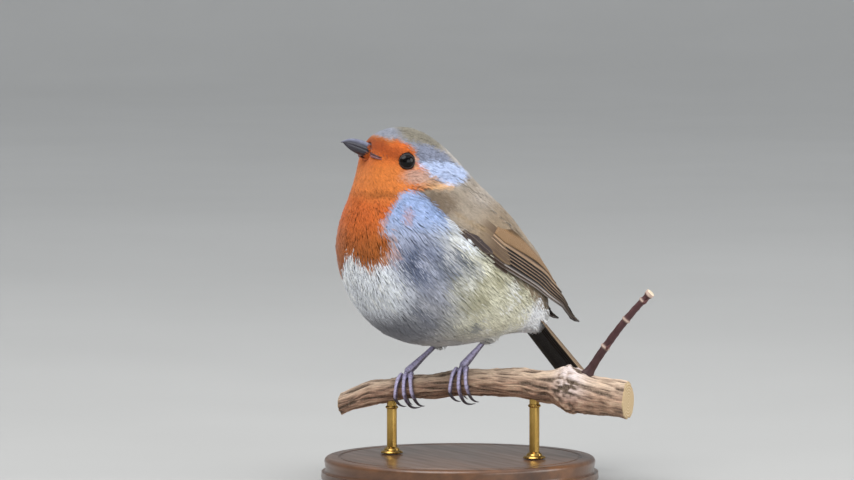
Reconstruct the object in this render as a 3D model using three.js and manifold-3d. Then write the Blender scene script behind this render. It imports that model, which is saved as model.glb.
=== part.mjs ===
// A life-size robin (Erithacus rubecula), fluffed up and perched on a cut length of branch, on a small stand.
// Millimetres, +Z up. The bird faces -Y and its left side is +X. The origin is the middle of the stand's underside.
import * as THREE from "three";
import { mergeVertices } from "three/addons/utils/BufferGeometryUtils.js";
import Module from "manifold-3d";

const wasm = await Module();
wasm.setup();

// ---- Driving dimensions ----

const GAP = 0.3; // clear space between pieces that touch in life
const WELD = 0.01; // points nearer than this become one
const BASE_RADIUS = 44;
const BASE_THICKNESS = 8;
const PERCH_HEIGHT = 34; // from the floor to the top of the branch between the feet
const PERCH_TURN = THREE.MathUtils.degToRad(43); // the branch's heading, from the bird's left to its tail
const FEET_BEHIND_CENTRE = 8; // how far along the branch the feet stand from the middle of the stand

// Where the branch runs: [distance along it, height of its axis, radius], from its thin end.
const BRANCH = [
  [-32, -10.4, 3.5],
  [-26.5, -8.4, 3.7],
  [-21.5, -6.4, 4.1],
  [-14, -5.3, 3.8],
  [-5, -4.2, 3.8],
  [5, -3.0, 4.0],
  [16, -2.0, 4.2],
  [30, -2.0, 4.8],
  [39, -2.6, 5.2],
  [44.5, -3.8, 7.6],
  [51.5, -4.6, 6.3],
  [57, -5.4, 5.9],
  [64, -7.0, 5.9],
];
const TWIG = { root: [49, 0, -1.5], tip: [71.4, 0, 27.6], bow: 1.7, rootRadius: 1.4, tipRadius: 1.0 };
const ROD = { radius: 1.6, places: [-15, 33] };

// The bird's outline in its own plane of symmetry: stations from bill to undertail. Each has a point on the back
// line and one on the belly line as [forward, up], and the half width of the body there.
const STATIONS = [
  { back: [24.5, 73.7], belly: [25.0, 68.3], half: 2.8 },
  { back: [21.7, 76.7], belly: [25.9, 65.8], half: 5.6 },
  { back: [17.4, 78.5], belly: [26.8, 63.0], half: 7.4 },
  { back: [11.5, 78.9], belly: [28.0, 59.8], half: 8.8 },
  { back: [4.6, 76.9], belly: [29.2, 56.8], half: 10.4 },
  { back: [-1.8, 72.7], belly: [30.4, 53.6], half: 12.9 },
  { back: [-6.2, 68.2], belly: [31.4, 50.4], half: 16.2 },
  { back: [-10.7, 63.0], belly: [32.2, 46.4], half: 19.4 },
  { back: [-15.9, 57.9], belly: [32.5, 41.8], half: 22.2 },
  { back: [-21.0, 53.4], belly: [32.0, 36.6], half: 24.4 },
  { back: [-25.9, 48.1], belly: [30.4, 30.6], half: 25.9 },
  { back: [-30.2, 42.8], belly: [26.9, 23.4], half: 26.2 },
  { back: [-34.2, 38.0], belly: [20.8, 16.2], half: 25.2 },
  { back: [-36.8, 33.6], belly: [12.6, 11.2], half: 23.0 },
  { back: [-37.4, 29.4], belly: [2.0, 9.2], half: 19.2 },
  { back: [-38.0, 25.8], belly: [-9.0, 9.6], half: 15.0 },
  { back: [-38.6, 22.6], belly: [-19.0, 11.5], half: 10.8 },
  { back: [-39.0, 19.4], belly: [-27.8, 12.5], half: 7.2 },
  { back: [-39.4, 16.2], belly: [-34.8, 12.0], half: 4.4 },
];
const FACE_POLE = [25.0, 70.7];
const VENT_POLE = [-38.6, 12.4];
const LAST = STATIONS.length - 1;
const HEAD_ENDS = 5.0; // station numbers where the head meets the neck, and the neck the trunk
const NECK_ENDS = 7.6;
const CUT = 0.035; // half the gap between two of these pieces, in station numbers
const BELLY_WEIGHT = 0.1; // how much the sections are broader below than above
const RINGS_PER_STATION = 2;
const BODY_SIDES = 24;

const EYE = { forward: 14.7, side: 7.3, up: 68.2, radius: 3.3 };

// The bill points forwards and 19 degrees up. Sizes run from the base, inside the face, to the tip.
const BILL = {
  base: [20.8, 69.7],
  tip: [33.5, 74.8],
  halfWidth: 2.5,
  upperDepth: 2.5,
  lowerDepth: 2.05,
  tipHalf: 0.34,
  culmenCurve: 0.5,
};

// Folded left wing, from the side: its lower and upper edges as curves of [forward, up] from wrist to tip.
const WING_LOWER = [
  [13.5, 59.0],
  [3.0, 44.0],
  [-18.0, 26.0],
  [-46.6, 15.9],
];
const WING_UPPER = [
  [3.0, 64.5],
  [-8.0, 54.0],
  [-30.0, 38.0],
  [-45.6, 18.9],
];
// The wing hugs the body down to a share of its length, and then runs straight in to its tip.
// There its upper edge leans in over the rump.
const WING = { thickness: 1.7, sink: 0.9, sinkEnd: 0.35, straightFrom: 0.6, straightSide: 21.5, tipSide: 7, lean: 7 };
const COVERTS_END = 0.47; // share of the wing's length that the coverts take
const PRIMARIES_SHARE = 0.42; // share of the width behind the coverts that the primaries take
const FEATHER_GAP = 0.02; // share of the width left clear between primaries and secondaries

// Tail: twelve feathers closed into a shallow roof.
const TAIL = {
  root: [-32.0, 20.6],
  tip: [-57.9, -7.8],
  rootHalf: 7.2,
  tipHalf: 9.4,
  roof: 1.3,
  notch: 2.2,
  thickness: 1.5,
};

// Legs. A foot stands at a distance along the branch, and its heel is at [forward, left, up].
const LEGS = [
  { side: "left", along: 9.3, heel: [-20.5, 10.0, 19.0] },
  { side: "right", along: -9.3, heel: [-13.5, -8.0, 16.3] },
];
const TARSUS = { heelRadius: 1.15, midRadius: 0.95, footRadius: 1.2 };
// The feathered thigh rises inside the flank, bends at the heel and ends in a cuff part of the way down the tarsus.
const THIGH = { lift: [5, 1, 7], cuff: 0.47, topRadius: 5.2, cuffRadius: 1.7 };
// Each toe wraps over the front or back of the branch: where it leaves the foot along the branch, how far it drifts
// that way in its length, how long it is and how long its claw is.
const TOES = [
  { name: "inner", wrap: 1, offset: -1.75, drift: -1.3, length: 8.6, claw: 4.4 },
  { name: "middle", wrap: 1, offset: 0, drift: 0.3, length: 11.4, claw: 5.8 },
  { name: "outer", wrap: 1, offset: 1.75, drift: 1.5, length: 9.6, claw: 4.6 },
  { name: "hind", wrap: -1, offset: -0.9, drift: -2.4, length: 6.6, claw: 5.4 },
];
const TOE_RADIUS = 0.72;
const TOE_TIP_RADIUS = 0.55;
// A claw starts just past the toe's pad, droops from the toe's heading and turns through an angle as it hooks.
const CLAW = { start: GAP + 0.5, droop: 0.8, slant: 1.1, turn: 1.1, radius: 0.5, tipRadius: 0.26 };

// ---- Materials ----

function finish(color, roughness, metalness = 0) {
  return new THREE.MeshStandardMaterial({ color, roughness, metalness });
}
const brownPlumage = finish(0x8a7354, 0.9);
const headPlumage = finish(0xd9702a, 0.9);
const breastPlumage = finish(0xcf7c40, 0.9);
const bodyPlumage = finish(0xb4b3ad, 0.9);
const flightFeather = finish(0x5a4636, 0.7);
const tailFeather = finish(0x4d3d31, 0.7);
const billHorn = finish(0x2c2a33, 0.4);
const eyeGloss = finish(0x0b0909, 0.05);
const legSkin = finish(0x4a3a42, 0.55);
const clawHorn = finish(0x353036, 0.4);
const bark = finish(0x8d6a4d, 0.95);
const twigBark = finish(0x7a4a45, 0.7);
const baseWood = finish(0x4a3222, 0.45);
const rodBrass = finish(0xb08d4f, 0.3, 1);

// ---- Shape helpers ----

// A point of the bird, from how far forward, left and up it is of the branch's top between the feet.
function bird(forward, left, up) {
  return new THREE.Vector3(left, -forward, up);
}

// The branch's own directions: along it towards the tail side, across it towards the toes, and up.
const ALONG = new THREE.Vector3(Math.cos(PERCH_TURN), Math.sin(PERCH_TURN), 0);
const ACROSS = new THREE.Vector3(Math.sin(PERCH_TURN), -Math.cos(PERCH_TURN), 0);
const UP = new THREE.Vector3(0, 0, 1);
function perch(along, across, up) {
  return new THREE.Vector3()
    .addScaledVector(ALONG, along)
    .addScaledVector(ACROSS, across)
    .addScaledVector(UP, up);
}

// Triangles between rings of points, closed at each end by a fan to the ring's middle.
function loft(rings) {
  const sides = rings[0].length;
  const points = rings.flat();
  const triangles = [];
  for (let r = 0; r + 1 < rings.length; r++)
    for (let i = 0; i < sides; i++) {
      const j = (i + 1) % sides;
      const a = r * sides + i;
      const b = r * sides + j;
      triangles.push(a, b, b + sides, a, b + sides, a + sides);
    }
  for (const [ring, first, turn] of [[rings[0], 0, 1], [rings.at(-1), (rings.length - 1) * sides, 0]]) {
    const middle = points.length;
    points.push(ring.reduce((sum, p) => sum.add(p), new THREE.Vector3()).divideScalar(sides));
    for (let i = 0; i < sides; i++) {
      const a = first + i;
      const b = first + ((i + 1) % sides);
      triangles.push(...(turn ? [middle, b, a] : [middle, a, b]));
    }
  }
  return facingOut(new THREE.BufferGeometry().setFromPoints(points).setIndex(triangles));
}

// Turns a closed geometry's faces round if its volume comes out negative.
function facingOut(geometry) {
  const at = geometry.getAttribute("position");
  const index = geometry.index.array;
  let volume = 0;
  for (let i = 0; i < index.length; i += 3) {
    const [a, b, c] = [0, 1, 2].map((k) => new THREE.Vector3().fromBufferAttribute(at, index[i + k]));
    volume += a.dot(b.cross(c));
  }
  if (volume < 0)
    for (let i = 0; i < index.length; i += 3) [index[i + 1], index[i + 2]] = [index[i + 2], index[i + 1]];
  return geometry;
}

// The same geometry on the bird's other side.
function mirrored(geometry) {
  return facingOut(geometry.clone().scale(-1, 1, 1));
}

// A round tube along a path, with its own radius at each point and rounded ends.
function tube(path, radii, sides) {
  const BLUNT = 0.6; // the radius at each rounded end, as a share of the tube's own
  const REACH = 0.4; // how far the end stands out, as a share of the same
  const last = path.length - 1;
  const rings = [];
  const normal = new THREE.Vector3(0.3, 0.5, 0.81);
  const ring = (centre, tangent, radius) => {
    const across = tangent.clone().cross(normal);
    const points = [];
    for (let i = 0; i < sides; i++) {
      const angle = (2 * Math.PI * i) / sides;
      points.push(
        centre
          .clone()
          .addScaledVector(normal, radius * Math.cos(angle))
          .addScaledVector(across, radius * Math.sin(angle)),
      );
    }
    rings.push(points);
  };
  path.forEach((centre, k) => {
    const tangent = path[Math.min(k + 1, last)].clone().sub(path[Math.max(k - 1, 0)]).normalize();
    normal.addScaledVector(tangent, -normal.dot(tangent)).normalize();
    const cap = (side) => {
      ring(centre.clone().addScaledVector(tangent, side * REACH * radii[k]), tangent, BLUNT * radii[k]);
    };
    if (k === 0) cap(-1);
    ring(centre, tangent, radii[k]);
    if (k === last) cap(1);
  });
  return loft(rings);
}

// A closed plate: a grid of middle points with an outward direction, thick by a number for each row.
function plate(point, outward, thickness, rows, columns) {
  const rings = [];
  for (let r = 0; r <= rows; r++) {
    const front = [];
    const back = [];
    for (let c = 0; c <= columns; c++) {
      const p = point(r / rows, c / columns);
      const n = outward(r / rows, c / columns);
      const half = thickness(r / rows, c / columns) / 2;
      front.push(p.clone().addScaledVector(n, half));
      back.push(p.clone().addScaledVector(n, -half));
    }
    rings.push([...front, ...back.reverse()]);
  }
  return loft(rings);
}

function solid(geometry) {
  const bare = new THREE.BufferGeometry()
    .setAttribute("position", geometry.getAttribute("position"))
    .setIndex(geometry.index);
  const merged = mergeVertices(bare, 1e-4);
  return new wasm.Manifold(
    new wasm.Mesh({
      numProp: 3,
      vertProperties: merged.getAttribute("position").array,
      triVerts: new Uint32Array(merged.index.array),
    }),
  );
}

// Cuts leave points very close together, so they are welded and the triangles that this flattens are dropped.
function geometryOf(manifold) {
  const mesh = manifold.getMesh();
  const cut = new THREE.BufferGeometry()
    .setAttribute("position", new THREE.BufferAttribute(new Float32Array(mesh.vertProperties), 3))
    .setIndex(new THREE.BufferAttribute(new Uint32Array(mesh.triVerts), 1));
  const welded = mergeVertices(cut, WELD);
  const corners = welded.index.array;
  const kept = [];
  for (let i = 0; i < corners.length; i += 3) {
    const [a, b, c] = corners.slice(i, i + 3);
    if (a !== b && b !== c && c !== a) kept.push(a, b, c);
  }
  return welded.setIndex(kept);
}

// The largest connected piece, as a cut can leave slivers.
function largest(manifold) {
  return manifold.decompose().reduce((a, b) => (a.volume() > b.volume() ? a : b));
}

// ---- The bird's body ----

// One section of the body, at a station number that may lie between whole ones.
function section(number) {
  const pick = (key, k) => {
    const at = (i) => {
      const s = STATIONS[THREE.MathUtils.clamp(i, 0, LAST)];
      return k === undefined ? s[key] : s[key][k];
    };
    const i = Math.floor(number);
    const t = number - i;
    const [p0, p1, p2, p3] = [at(i - 1), at(i), at(i + 1), at(i + 2)];
    const slope = p2 - p0;
    const bend = 2 * p0 - 5 * p1 + 4 * p2 - p3;
    const twist = 3 * p1 - p0 - 3 * p2 + p3;
    return p1 + 0.5 * t * (slope + t * (bend + t * twist));
  };
  const back = new THREE.Vector2(pick("back", 0), pick("back", 1));
  const belly = new THREE.Vector2(pick("belly", 0), pick("belly", 1));
  const middle = back.clone().add(belly).multiplyScalar(0.5);
  const towardsBelly = belly.clone().sub(middle);
  const half = pick("half");
  const ring = [];
  for (let i = 0; i < BODY_SIDES; i++) {
    const angle = (2 * Math.PI * i) / BODY_SIDES;
    const down = Math.cos(angle);
    const across = Math.sin(angle) * half * (1 + BELLY_WEIGHT * down);
    ring.push(bird(middle.x + down * towardsBelly.x, across, middle.y + down * towardsBelly.y));
  }
  return ring;
}

// A small ring round an end pole, so that the end closes smoothly.
function poleRing(pole, number, share) {
  const centre = bird(pole[0], 0, pole[1]);
  return section(number).map((p) => centre.clone().lerp(p, share));
}

// How far the body's surface stands to the side at a place in the plane of symmetry, or 0 outside the body.
function bodySide(forward, up) {
  const ends = (number) => {
    const ring = section(number);
    const belly = new THREE.Vector2(-ring[0].y, ring[0].z);
    const back = new THREE.Vector2(-ring[BODY_SIDES / 2].y, ring[BODY_SIDES / 2].z);
    return { back, belly, widest: Math.max(...ring.map((p) => p.x)) };
  };
  const place = new THREE.Vector2(forward, up);
  const past = (number) => {
    const { back, belly } = ends(number);
    return belly.clone().sub(back).cross(place.clone().sub(back)) > 0;
  };
  let low = 0;
  let high = LAST;
  const PRECISION = 0.01;
  while (high - low > PRECISION) {
    const middle = (low + high) / 2;
    if (past(middle)) high = middle;
    else low = middle;
  }
  const { back, belly, widest } = ends(low);
  const share = place.sub(back).dot(belly.clone().sub(back)) / belly.distanceToSquared(back);
  return widest * Math.sqrt(Math.max(0, 4 * share * (1 - share)));
}

// The body between two station numbers, closed round a pole at the face and the vent.
function bodyBetween(from, to) {
  const rings = [];
  if (from === 0) rings.push(poleRing(FACE_POLE, 0, 0.55));
  const steps = Math.round((to - from) * RINGS_PER_STATION);
  for (let k = 0; k <= steps; k++) rings.push(section(THREE.MathUtils.lerp(from, to, k / steps)));
  if (to === LAST) rings.push(poleRing(VENT_POLE, LAST, 0.6));
  return loft(rings);
}

// ---- Bill ----

// One half of the bill, above or below the gape, as arched rings from base to tip.
function mandible(direction, depth, shorter, grow = 0) {
  const base = new THREE.Vector2(...BILL.base);
  const tip = new THREE.Vector2(...BILL.tip);
  const axis = tip.clone().sub(base).multiplyScalar(1 - shorter);
  base.addScaledVector(axis, -grow / axis.length());
  const up = new THREE.Vector2(-axis.y, axis.x).normalize();
  const rings = [];
  const STEPS = 8;
  const ARCH = 7;
  for (let k = 0; k <= STEPS; k++) {
    const t = k / STEPS;
    const taper = Math.pow(1 - t, 0.75);
    const halfWidth = THREE.MathUtils.lerp(BILL.tipHalf, BILL.halfWidth, taper) + grow;
    const high = THREE.MathUtils.lerp(BILL.tipHalf, depth, Math.tanh(3.6 * (1 - t))) + 2 * grow;
    const bow = BILL.culmenCurve * Math.sin(Math.PI * Math.min(1, t * 1.1)) - 0.5 * Math.max(0, t - 0.8);
    const centre = base.clone().addScaledVector(axis, t).addScaledVector(up, bow * 0.5);
    const ring = [];
    for (let i = 0; i <= ARCH; i++) {
      const angle = (Math.PI * i) / ARCH;
      const rise = direction * (GAP / 2 - grow + Math.sin(angle) * high);
      ring.push(bird(centre.x + up.x * rise, Math.cos(angle) * halfWidth, centre.y + up.y * rise));
    }
    rings.push(ring);
  }
  return loft(rings);
}

// ---- Wings ----

function sideCurve(points) {
  return new THREE.CubicBezierCurve(...points.map((p) => new THREE.Vector2(...p)));
}
const wingLower = sideCurve(WING_LOWER);
const wingUpper = sideCurve(WING_UPPER);

// A point of the left wing's middle sheet: along runs from wrist to tip, up from the lower edge to the upper.
function wingPoint(along, up) {
  const p = wingLower.getPoint(along).lerp(wingUpper.getPoint(along), up);
  const hug = bodySide(p.x, p.y) - WING.sink * Math.max(0, 1 - along / WING.sinkEnd);
  const t = (along - WING.straightFrom) / (1 - WING.straightFrom);
  const lean = WING.lean * up * (1 - 0.8 * t);
  const straight = t > 0 ? THREE.MathUtils.lerp(WING.straightSide, WING.tipSide, t) - lean : 0;
  const BLEND = 1.5;
  return bird(p.x, (hug + straight + Math.hypot(hug - straight, BLEND)) / 2, p.y);
}

function wingOutward(along, up) {
  const step = 0.03;
  const a = Math.min(along, 1 - step);
  const u = Math.min(up, 1 - step);
  const here = wingPoint(a, u);
  const span = wingPoint(a + step, u).sub(here);
  const chord = wingPoint(a, u + step).sub(here);
  return span.cross(chord).normalize();
}

// Part of the left wing, between two shares of its length and two of its width, as [from, to].
function wingPart(length, width, rows, columns, extra = 0) {
  const along = (r) => THREE.MathUtils.lerp(...length, r);
  const up = (c) => THREE.MathUtils.lerp(...width, c);
  return plate(
    (r, c) => wingPoint(along(r), up(c)),
    (r, c) => wingOutward(along(r), up(c)),
    (r) => WING.thickness * (1 - 0.45 * along(r)) + 2 * extra,
    rows,
    columns,
  );
}

// The room that the whole wing needs in the body.
function wingRoom() {
  return wingPart([0, 1], [-FEATHER_GAP, 1 + FEATHER_GAP], 12, 5, GAP);
}

// ---- Tail ----

function tailPlate(extra = 0, rows = 7, columns = 6) {
  const root = new THREE.Vector2(...TAIL.root);
  const run = new THREE.Vector2(...TAIL.tip).sub(root);
  const outwards = bird(-run.y, 0, run.x).normalize().multiplyScalar(-1);
  return plate(
    (r, c) => {
      const across = 2 * c - 1;
      const reach = r * (1 - (TAIL.notch / run.length()) * Math.max(0, 1 - 2.5 * Math.abs(across)) * r);
      const rounding = 1 - 0.12 * Math.pow(r, 8);
      const half = rounding * THREE.MathUtils.lerp(TAIL.rootHalf, TAIL.tipHalf, Math.sqrt(r));
      return bird(root.x + run.x * reach, across * half, root.y + run.y * reach).addScaledVector(
        outwards,
        -TAIL.roof * across * across,
      );
    },
    () => outwards,
    (r) => TAIL.thickness * (1 - 0.4 * r) + 2 * extra,
    rows,
    columns,
  );
}

// ---- Branch ----

function branchAt(along) {
  const i = THREE.MathUtils.clamp(BRANCH.findIndex((b) => b[0] > along), 1, BRANCH.length - 1);
  const [a, b] = [BRANCH[i - 1], BRANCH[i]];
  const t = THREE.MathUtils.clamp((along - a[0]) / (b[0] - a[0]), 0, 1);
  return { up: THREE.MathUtils.lerp(a[1], b[1], t), radius: THREE.MathUtils.lerp(a[2], b[2], t) };
}

function branchGeometry(grow = 0) {
  const SIDES = 12;
  const rings = BRANCH.flatMap(([along], i) => {
    const next = BRANCH[i + 1];
    return next ? [along, (along + next[0]) / 2] : [along];
  }).map((along) => {
    const { up, radius } = branchAt(along);
    const ring = [];
    for (let i = 0; i < SIDES; i++) {
      const angle = (2 * Math.PI * i) / SIDES;
      const r = radius * (1 + 0.04 * Math.sin(3 * angle + along * 0.35)) + grow;
      ring.push(perch(along, r * Math.cos(angle), up + r * Math.sin(angle)));
    }
    return ring;
  });
  return loft(rings);
}

function twigGeometry() {
  const path = [];
  const radii = [];
  const STEPS = 5;
  for (let k = 0; k <= STEPS; k++) {
    const t = k / STEPS;
    const p = TWIG.root.map((v, i) => THREE.MathUtils.lerp(v, TWIG.tip[i], t));
    const bow = TWIG.bow * Math.sin(Math.PI * t);
    path.push(perch(p[0] - bow, p[1], p[2] + bow));
    radii.push(THREE.MathUtils.lerp(TWIG.rootRadius, TWIG.tipRadius, t));
  }
  return tube(path, radii, 10);
}

// ---- Legs and feet ----

// Where a toe's middle line is, at a distance from the foot along its own length, wrapped round the branch.
function toePoint(leg, toe, length) {
  const along = leg.along + toe.offset + toe.drift * (length / 10);
  const { up, radius } = branchAt(along);
  const around = radius * 1.04 + GAP + TOE_RADIUS;
  const START = 1.9; // toes spring from the front or back of the foot, and not from its middle
  const angle = (toe.wrap * (START + length)) / around;
  return perch(along, around * Math.sin(angle), up + around * Math.cos(angle));
}

function toeGeometry(leg, toe) {
  const path = [];
  const radii = [];
  const STEPS = 6;
  for (let k = 0; k <= STEPS; k++) {
    path.push(toePoint(leg, toe, (toe.length * k) / STEPS));
    radii.push(THREE.MathUtils.lerp(TOE_RADIUS, TOE_TIP_RADIUS, k / STEPS));
  }
  return tube(path, radii, 7);
}

// The claw drops from the toe's tip and hooks in under the branch.
function clawGeometry(leg, toe) {
  const end = toePoint(leg, toe, toe.length);
  const heading = end.clone().sub(toePoint(leg, toe, toe.length - 0.5)).normalize();
  const drop = heading.clone().addScaledVector(UP, -CLAW.droop).normalize();
  const inwards = perch(leg.along + toe.offset, 0, branchAt(leg.along).up).sub(end).normalize();
  const hook = inwards.addScaledVector(ALONG, CLAW.slant);
  const path = [];
  const radii = [];
  const STEPS = 4;
  for (let k = 0; k <= STEPS; k++) {
    const t = k / STEPS;
    path.push(
      end
        .clone()
        .addScaledVector(heading, CLAW.start)
        .addScaledVector(drop, (Math.sin(CLAW.turn * t) / CLAW.turn) * toe.claw)
        .addScaledVector(hook, ((1 - Math.cos(CLAW.turn * t)) / CLAW.turn) * toe.claw),
    );
    radii.push(THREE.MathUtils.lerp(CLAW.radius, CLAW.tipRadius, t));
  }
  return tube(path, radii, 6);
}

// The foot's middle, above the branch where the toes meet.
function ankle(leg) {
  const { up, radius } = branchAt(leg.along);
  return perch(leg.along, 0, up + radius * 1.04 + GAP + TOE_RADIUS + 0.4);
}

function tarsusGeometry(leg, grow = 0) {
  const foot = ankle(leg);
  const heel = bird(...leg.heel);
  const down = foot.clone().sub(heel);
  const path = [0, 0.12, 0.5, 0.86, 1].map((t) => heel.clone().addScaledVector(down, t));
  const { heelRadius, midRadius, footRadius } = TARSUS;
  const radii = [heelRadius, midRadius * 1.05, midRadius, midRadius * 1.1, footRadius];
  return tube(path, radii.map((r) => r + grow), 10);
}

function thighGeometry(leg, grow = 0) {
  const heel = bird(...leg.heel);
  const top = heel.clone().add(bird(...THIGH.lift));
  const cuff = heel.clone().lerp(ankle(leg), THIGH.cuff);
  const path = new THREE.QuadraticBezierCurve3(top, heel, cuff).getPoints(6);
  const radii = path.map((_, k) => THREE.MathUtils.lerp(THIGH.topRadius, THIGH.cuffRadius, k / 6) + grow);
  return tube(path, radii, 12);
}

// ---- Stand ----

function baseGeometry() {
  const BEVEL = 1.6;
  const profile = [
    [0, 0],
    [BASE_RADIUS - 0.6, 0],
    [BASE_RADIUS, 0.6],
    [BASE_RADIUS, BASE_THICKNESS - BEVEL],
    [BASE_RADIUS - 0.5 * BEVEL, BASE_THICKNESS - 0.4 * BEVEL],
    [BASE_RADIUS - 1.4 * BEVEL, BASE_THICKNESS],
    [0, BASE_THICKNESS],
  ].map(([x, y]) => new THREE.Vector2(x, y));
  return new THREE.LatheGeometry(profile, 36).rotateX(Math.PI / 2);
}

// ---- Put together ----

const robin = new THREE.Group();
// Everything but the base is placed from the top of the branch between the feet.
const display = new THREE.Group();
display.position.copy(perch(-FEET_BEHIND_CENTRE, 0, PERCH_HEIGHT));
robin.add(display);

function add(group, name, geometry, material) {
  const mesh = new THREE.Mesh(geometry, material);
  mesh.name = name;
  group.add(mesh);
  return mesh;
}

// Head, with sockets for the eyes and room for the bill.
const eyeBall = (side, radius) =>
  new THREE.SphereGeometry(radius, 12, 8)
    .rotateZ(Math.PI / 2)
    .translate(...bird(EYE.forward, side * EYE.side, EYE.up));
const upperRoom = solid(mandible(1, BILL.upperDepth, 0, GAP));
const lowerRoom = solid(mandible(-1, BILL.lowerDepth, 0, GAP));
let head = solid(bodyBetween(0, HEAD_ENDS - CUT)).subtract(upperRoom).subtract(lowerRoom);
for (const side of [1, -1]) {
  const left = side > 0;
  head = head.subtract(solid(eyeBall(side, EYE.radius + GAP)));
  add(display, left ? "eye_left" : "eye_right", eyeBall(side, EYE.radius), eyeGloss);
}
add(display, "head", geometryOf(largest(head)), headPlumage);
add(display, "bill_upper", mandible(1, BILL.upperDepth, 0), billHorn);
add(display, "bill_lower", mandible(-1, BILL.lowerDepth, 0.06), billHorn);

// Neck and trunk, with room for the wings and the tail.
const wingRooms = solid(wingRoom()).add(solid(mirrored(wingRoom())));
const neck = solid(bodyBetween(HEAD_ENDS + CUT, NECK_ENDS - CUT)).subtract(wingRooms);
add(display, "neck", geometryOf(largest(neck)), breastPlumage);
let trunk = solid(bodyBetween(NECK_ENDS + CUT, LAST)).subtract(wingRooms).subtract(solid(tailPlate(GAP)));
for (const leg of LEGS)
  for (const room of [thighGeometry(leg, GAP), tarsusGeometry(leg, GAP)]) trunk = trunk.subtract(solid(room));
add(display, "trunk", geometryOf(largest(trunk)), bodyPlumage);

// Wings: coverts over the arm, then secondaries above and primaries below.
const behind = COVERTS_END + 0.008;
const wingParts = [
  ["coverts", wingPart([0, COVERTS_END], [0, 1], 7, 6), brownPlumage],
  ["primaries", wingPart([behind, 1], [0, PRIMARIES_SHARE - FEATHER_GAP], 9, 3), flightFeather],
  ["secondaries", wingPart([behind, 0.96], [PRIMARIES_SHARE + FEATHER_GAP, 1], 9, 3), flightFeather],
];
for (const [part, geometry, material] of wingParts) {
  add(display, `wing_left_${part}`, geometry, material);
  add(display, `wing_right_${part}`, mirrored(geometry), material);
}
add(display, "tail", tailPlate(), tailFeather);

// Legs and feet.
for (const leg of LEGS) {
  const thigh = solid(thighGeometry(leg));
  const tarsus = solid(tarsusGeometry(leg)).subtract(solid(thighGeometry(leg, GAP)));
  const tarsusRoom = solid(tarsusGeometry(leg, GAP));
  add(display, `thigh_${leg.side}`, geometryOf(thigh), bodyPlumage);
  add(display, `tarsus_${leg.side}`, geometryOf(largest(tarsus)), legSkin);
  for (const toe of TOES) {
    const whole = solid(toeGeometry(leg, toe));
    add(display, `toe_${leg.side}_${toe.name}`, geometryOf(largest(whole.subtract(tarsusRoom))), legSkin);
    add(display, `claw_${leg.side}_${toe.name}`, clawGeometry(leg, toe), clawHorn);
  }
}

// Perch.
add(display, "perch_branch", branchGeometry(), bark);
const branchRoom = solid(branchGeometry(GAP));
add(display, "perch_twig", geometryOf(largest(solid(twigGeometry()).subtract(branchRoom))), twigBark);

// Stand: two rods under the branch, let in as far as its bark, and a round base.
ROD.places.forEach((along, i) => {
  const foot = BASE_THICKNESS + GAP - PERCH_HEIGHT;
  const top = branchAt(along).up;
  const rod = new THREE.CylinderGeometry(ROD.radius, ROD.radius, top - foot, 20)
    .rotateX(Math.PI / 2)
    .translate(...perch(along, 0, (foot + top) / 2));
  add(display, `stand_rod_${i + 1}`, geometryOf(largest(solid(rod).subtract(branchRoom))), rodBrass);
});
add(robin, "stand_base", baseGeometry(), baseWood);

export default robin;
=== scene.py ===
"""A life-size robin, fluffed up on a cut branch over a small display stand.

The bird's shapes are worked out in millimetres from the top of the branch between its feet, with x to the
bird's left, y to its tail and z up. Feathers are closed meshes that lie along a smooth skin.
"""

import math

import bmesh
import bpy
import numpy as np
from mathutils import Matrix, Vector
from mathutils.bvhtree import BVHTree


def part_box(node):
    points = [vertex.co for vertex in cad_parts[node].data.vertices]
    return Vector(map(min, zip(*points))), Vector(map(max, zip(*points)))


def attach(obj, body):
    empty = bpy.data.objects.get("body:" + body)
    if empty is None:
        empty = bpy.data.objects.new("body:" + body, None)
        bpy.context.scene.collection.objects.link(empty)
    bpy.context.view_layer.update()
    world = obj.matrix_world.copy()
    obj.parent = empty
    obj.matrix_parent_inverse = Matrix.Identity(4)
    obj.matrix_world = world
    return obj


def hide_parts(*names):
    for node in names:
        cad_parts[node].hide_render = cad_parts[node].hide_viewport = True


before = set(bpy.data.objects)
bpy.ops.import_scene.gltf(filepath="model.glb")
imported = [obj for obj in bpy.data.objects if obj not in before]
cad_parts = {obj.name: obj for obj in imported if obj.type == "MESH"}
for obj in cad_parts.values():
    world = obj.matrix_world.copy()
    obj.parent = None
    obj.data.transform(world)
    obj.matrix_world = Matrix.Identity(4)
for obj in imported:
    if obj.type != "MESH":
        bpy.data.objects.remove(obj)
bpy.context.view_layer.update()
MM = 0.001
draw = np.random.default_rng(11)

# ---- Driving dimensions, in millimetres ----

EYE_FORWARD = 14.7  # how far the eyes stand in front of the feet
EYE_UP = 68.2  # and above them
EYE_GAZE = (0.96, -0.22, 0.10)  # which way the left eye looks
LIDS = (2.5, 2.28)  # half the length and height of the opening that the feathers leave for the lids
LID_RING = (2.4, 2.16)  # and of the lids' own ring
BILL_ROOT = (-20.8, 69.7)  # [y, z] of the middle of the bill inside the face
BILL_TIP = (-33.5, 74.8)
FACE = (0.0, -22.0, 70.5)  # the feathers' lie starts round the bill
RUMP = (0.0, 44.0, 12.0)  # and gathers towards the tail

# Folded wing seen from the side: lower and upper edge as curves of [forward, up] from wrist to tip.
WING_LOWER = ((13.5, 59.0), (3.0, 44.0), (-18.0, 26.0), (-46.6, 15.9))
WING_UPPER = ((3.0, 64.5), (-8.0, 54.0), (-30.0, 38.0), (-45.6, 18.9))

# Tail seen from the side: its root and tip as [forward, up].
TAIL_ROOT = (-32.0, 20.6)
TAIL_TIP = (-57.9, -7.8)
TAIL_ROOT_HALF = 7.2
TAIL_TIP_HALF = 9.4

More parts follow.
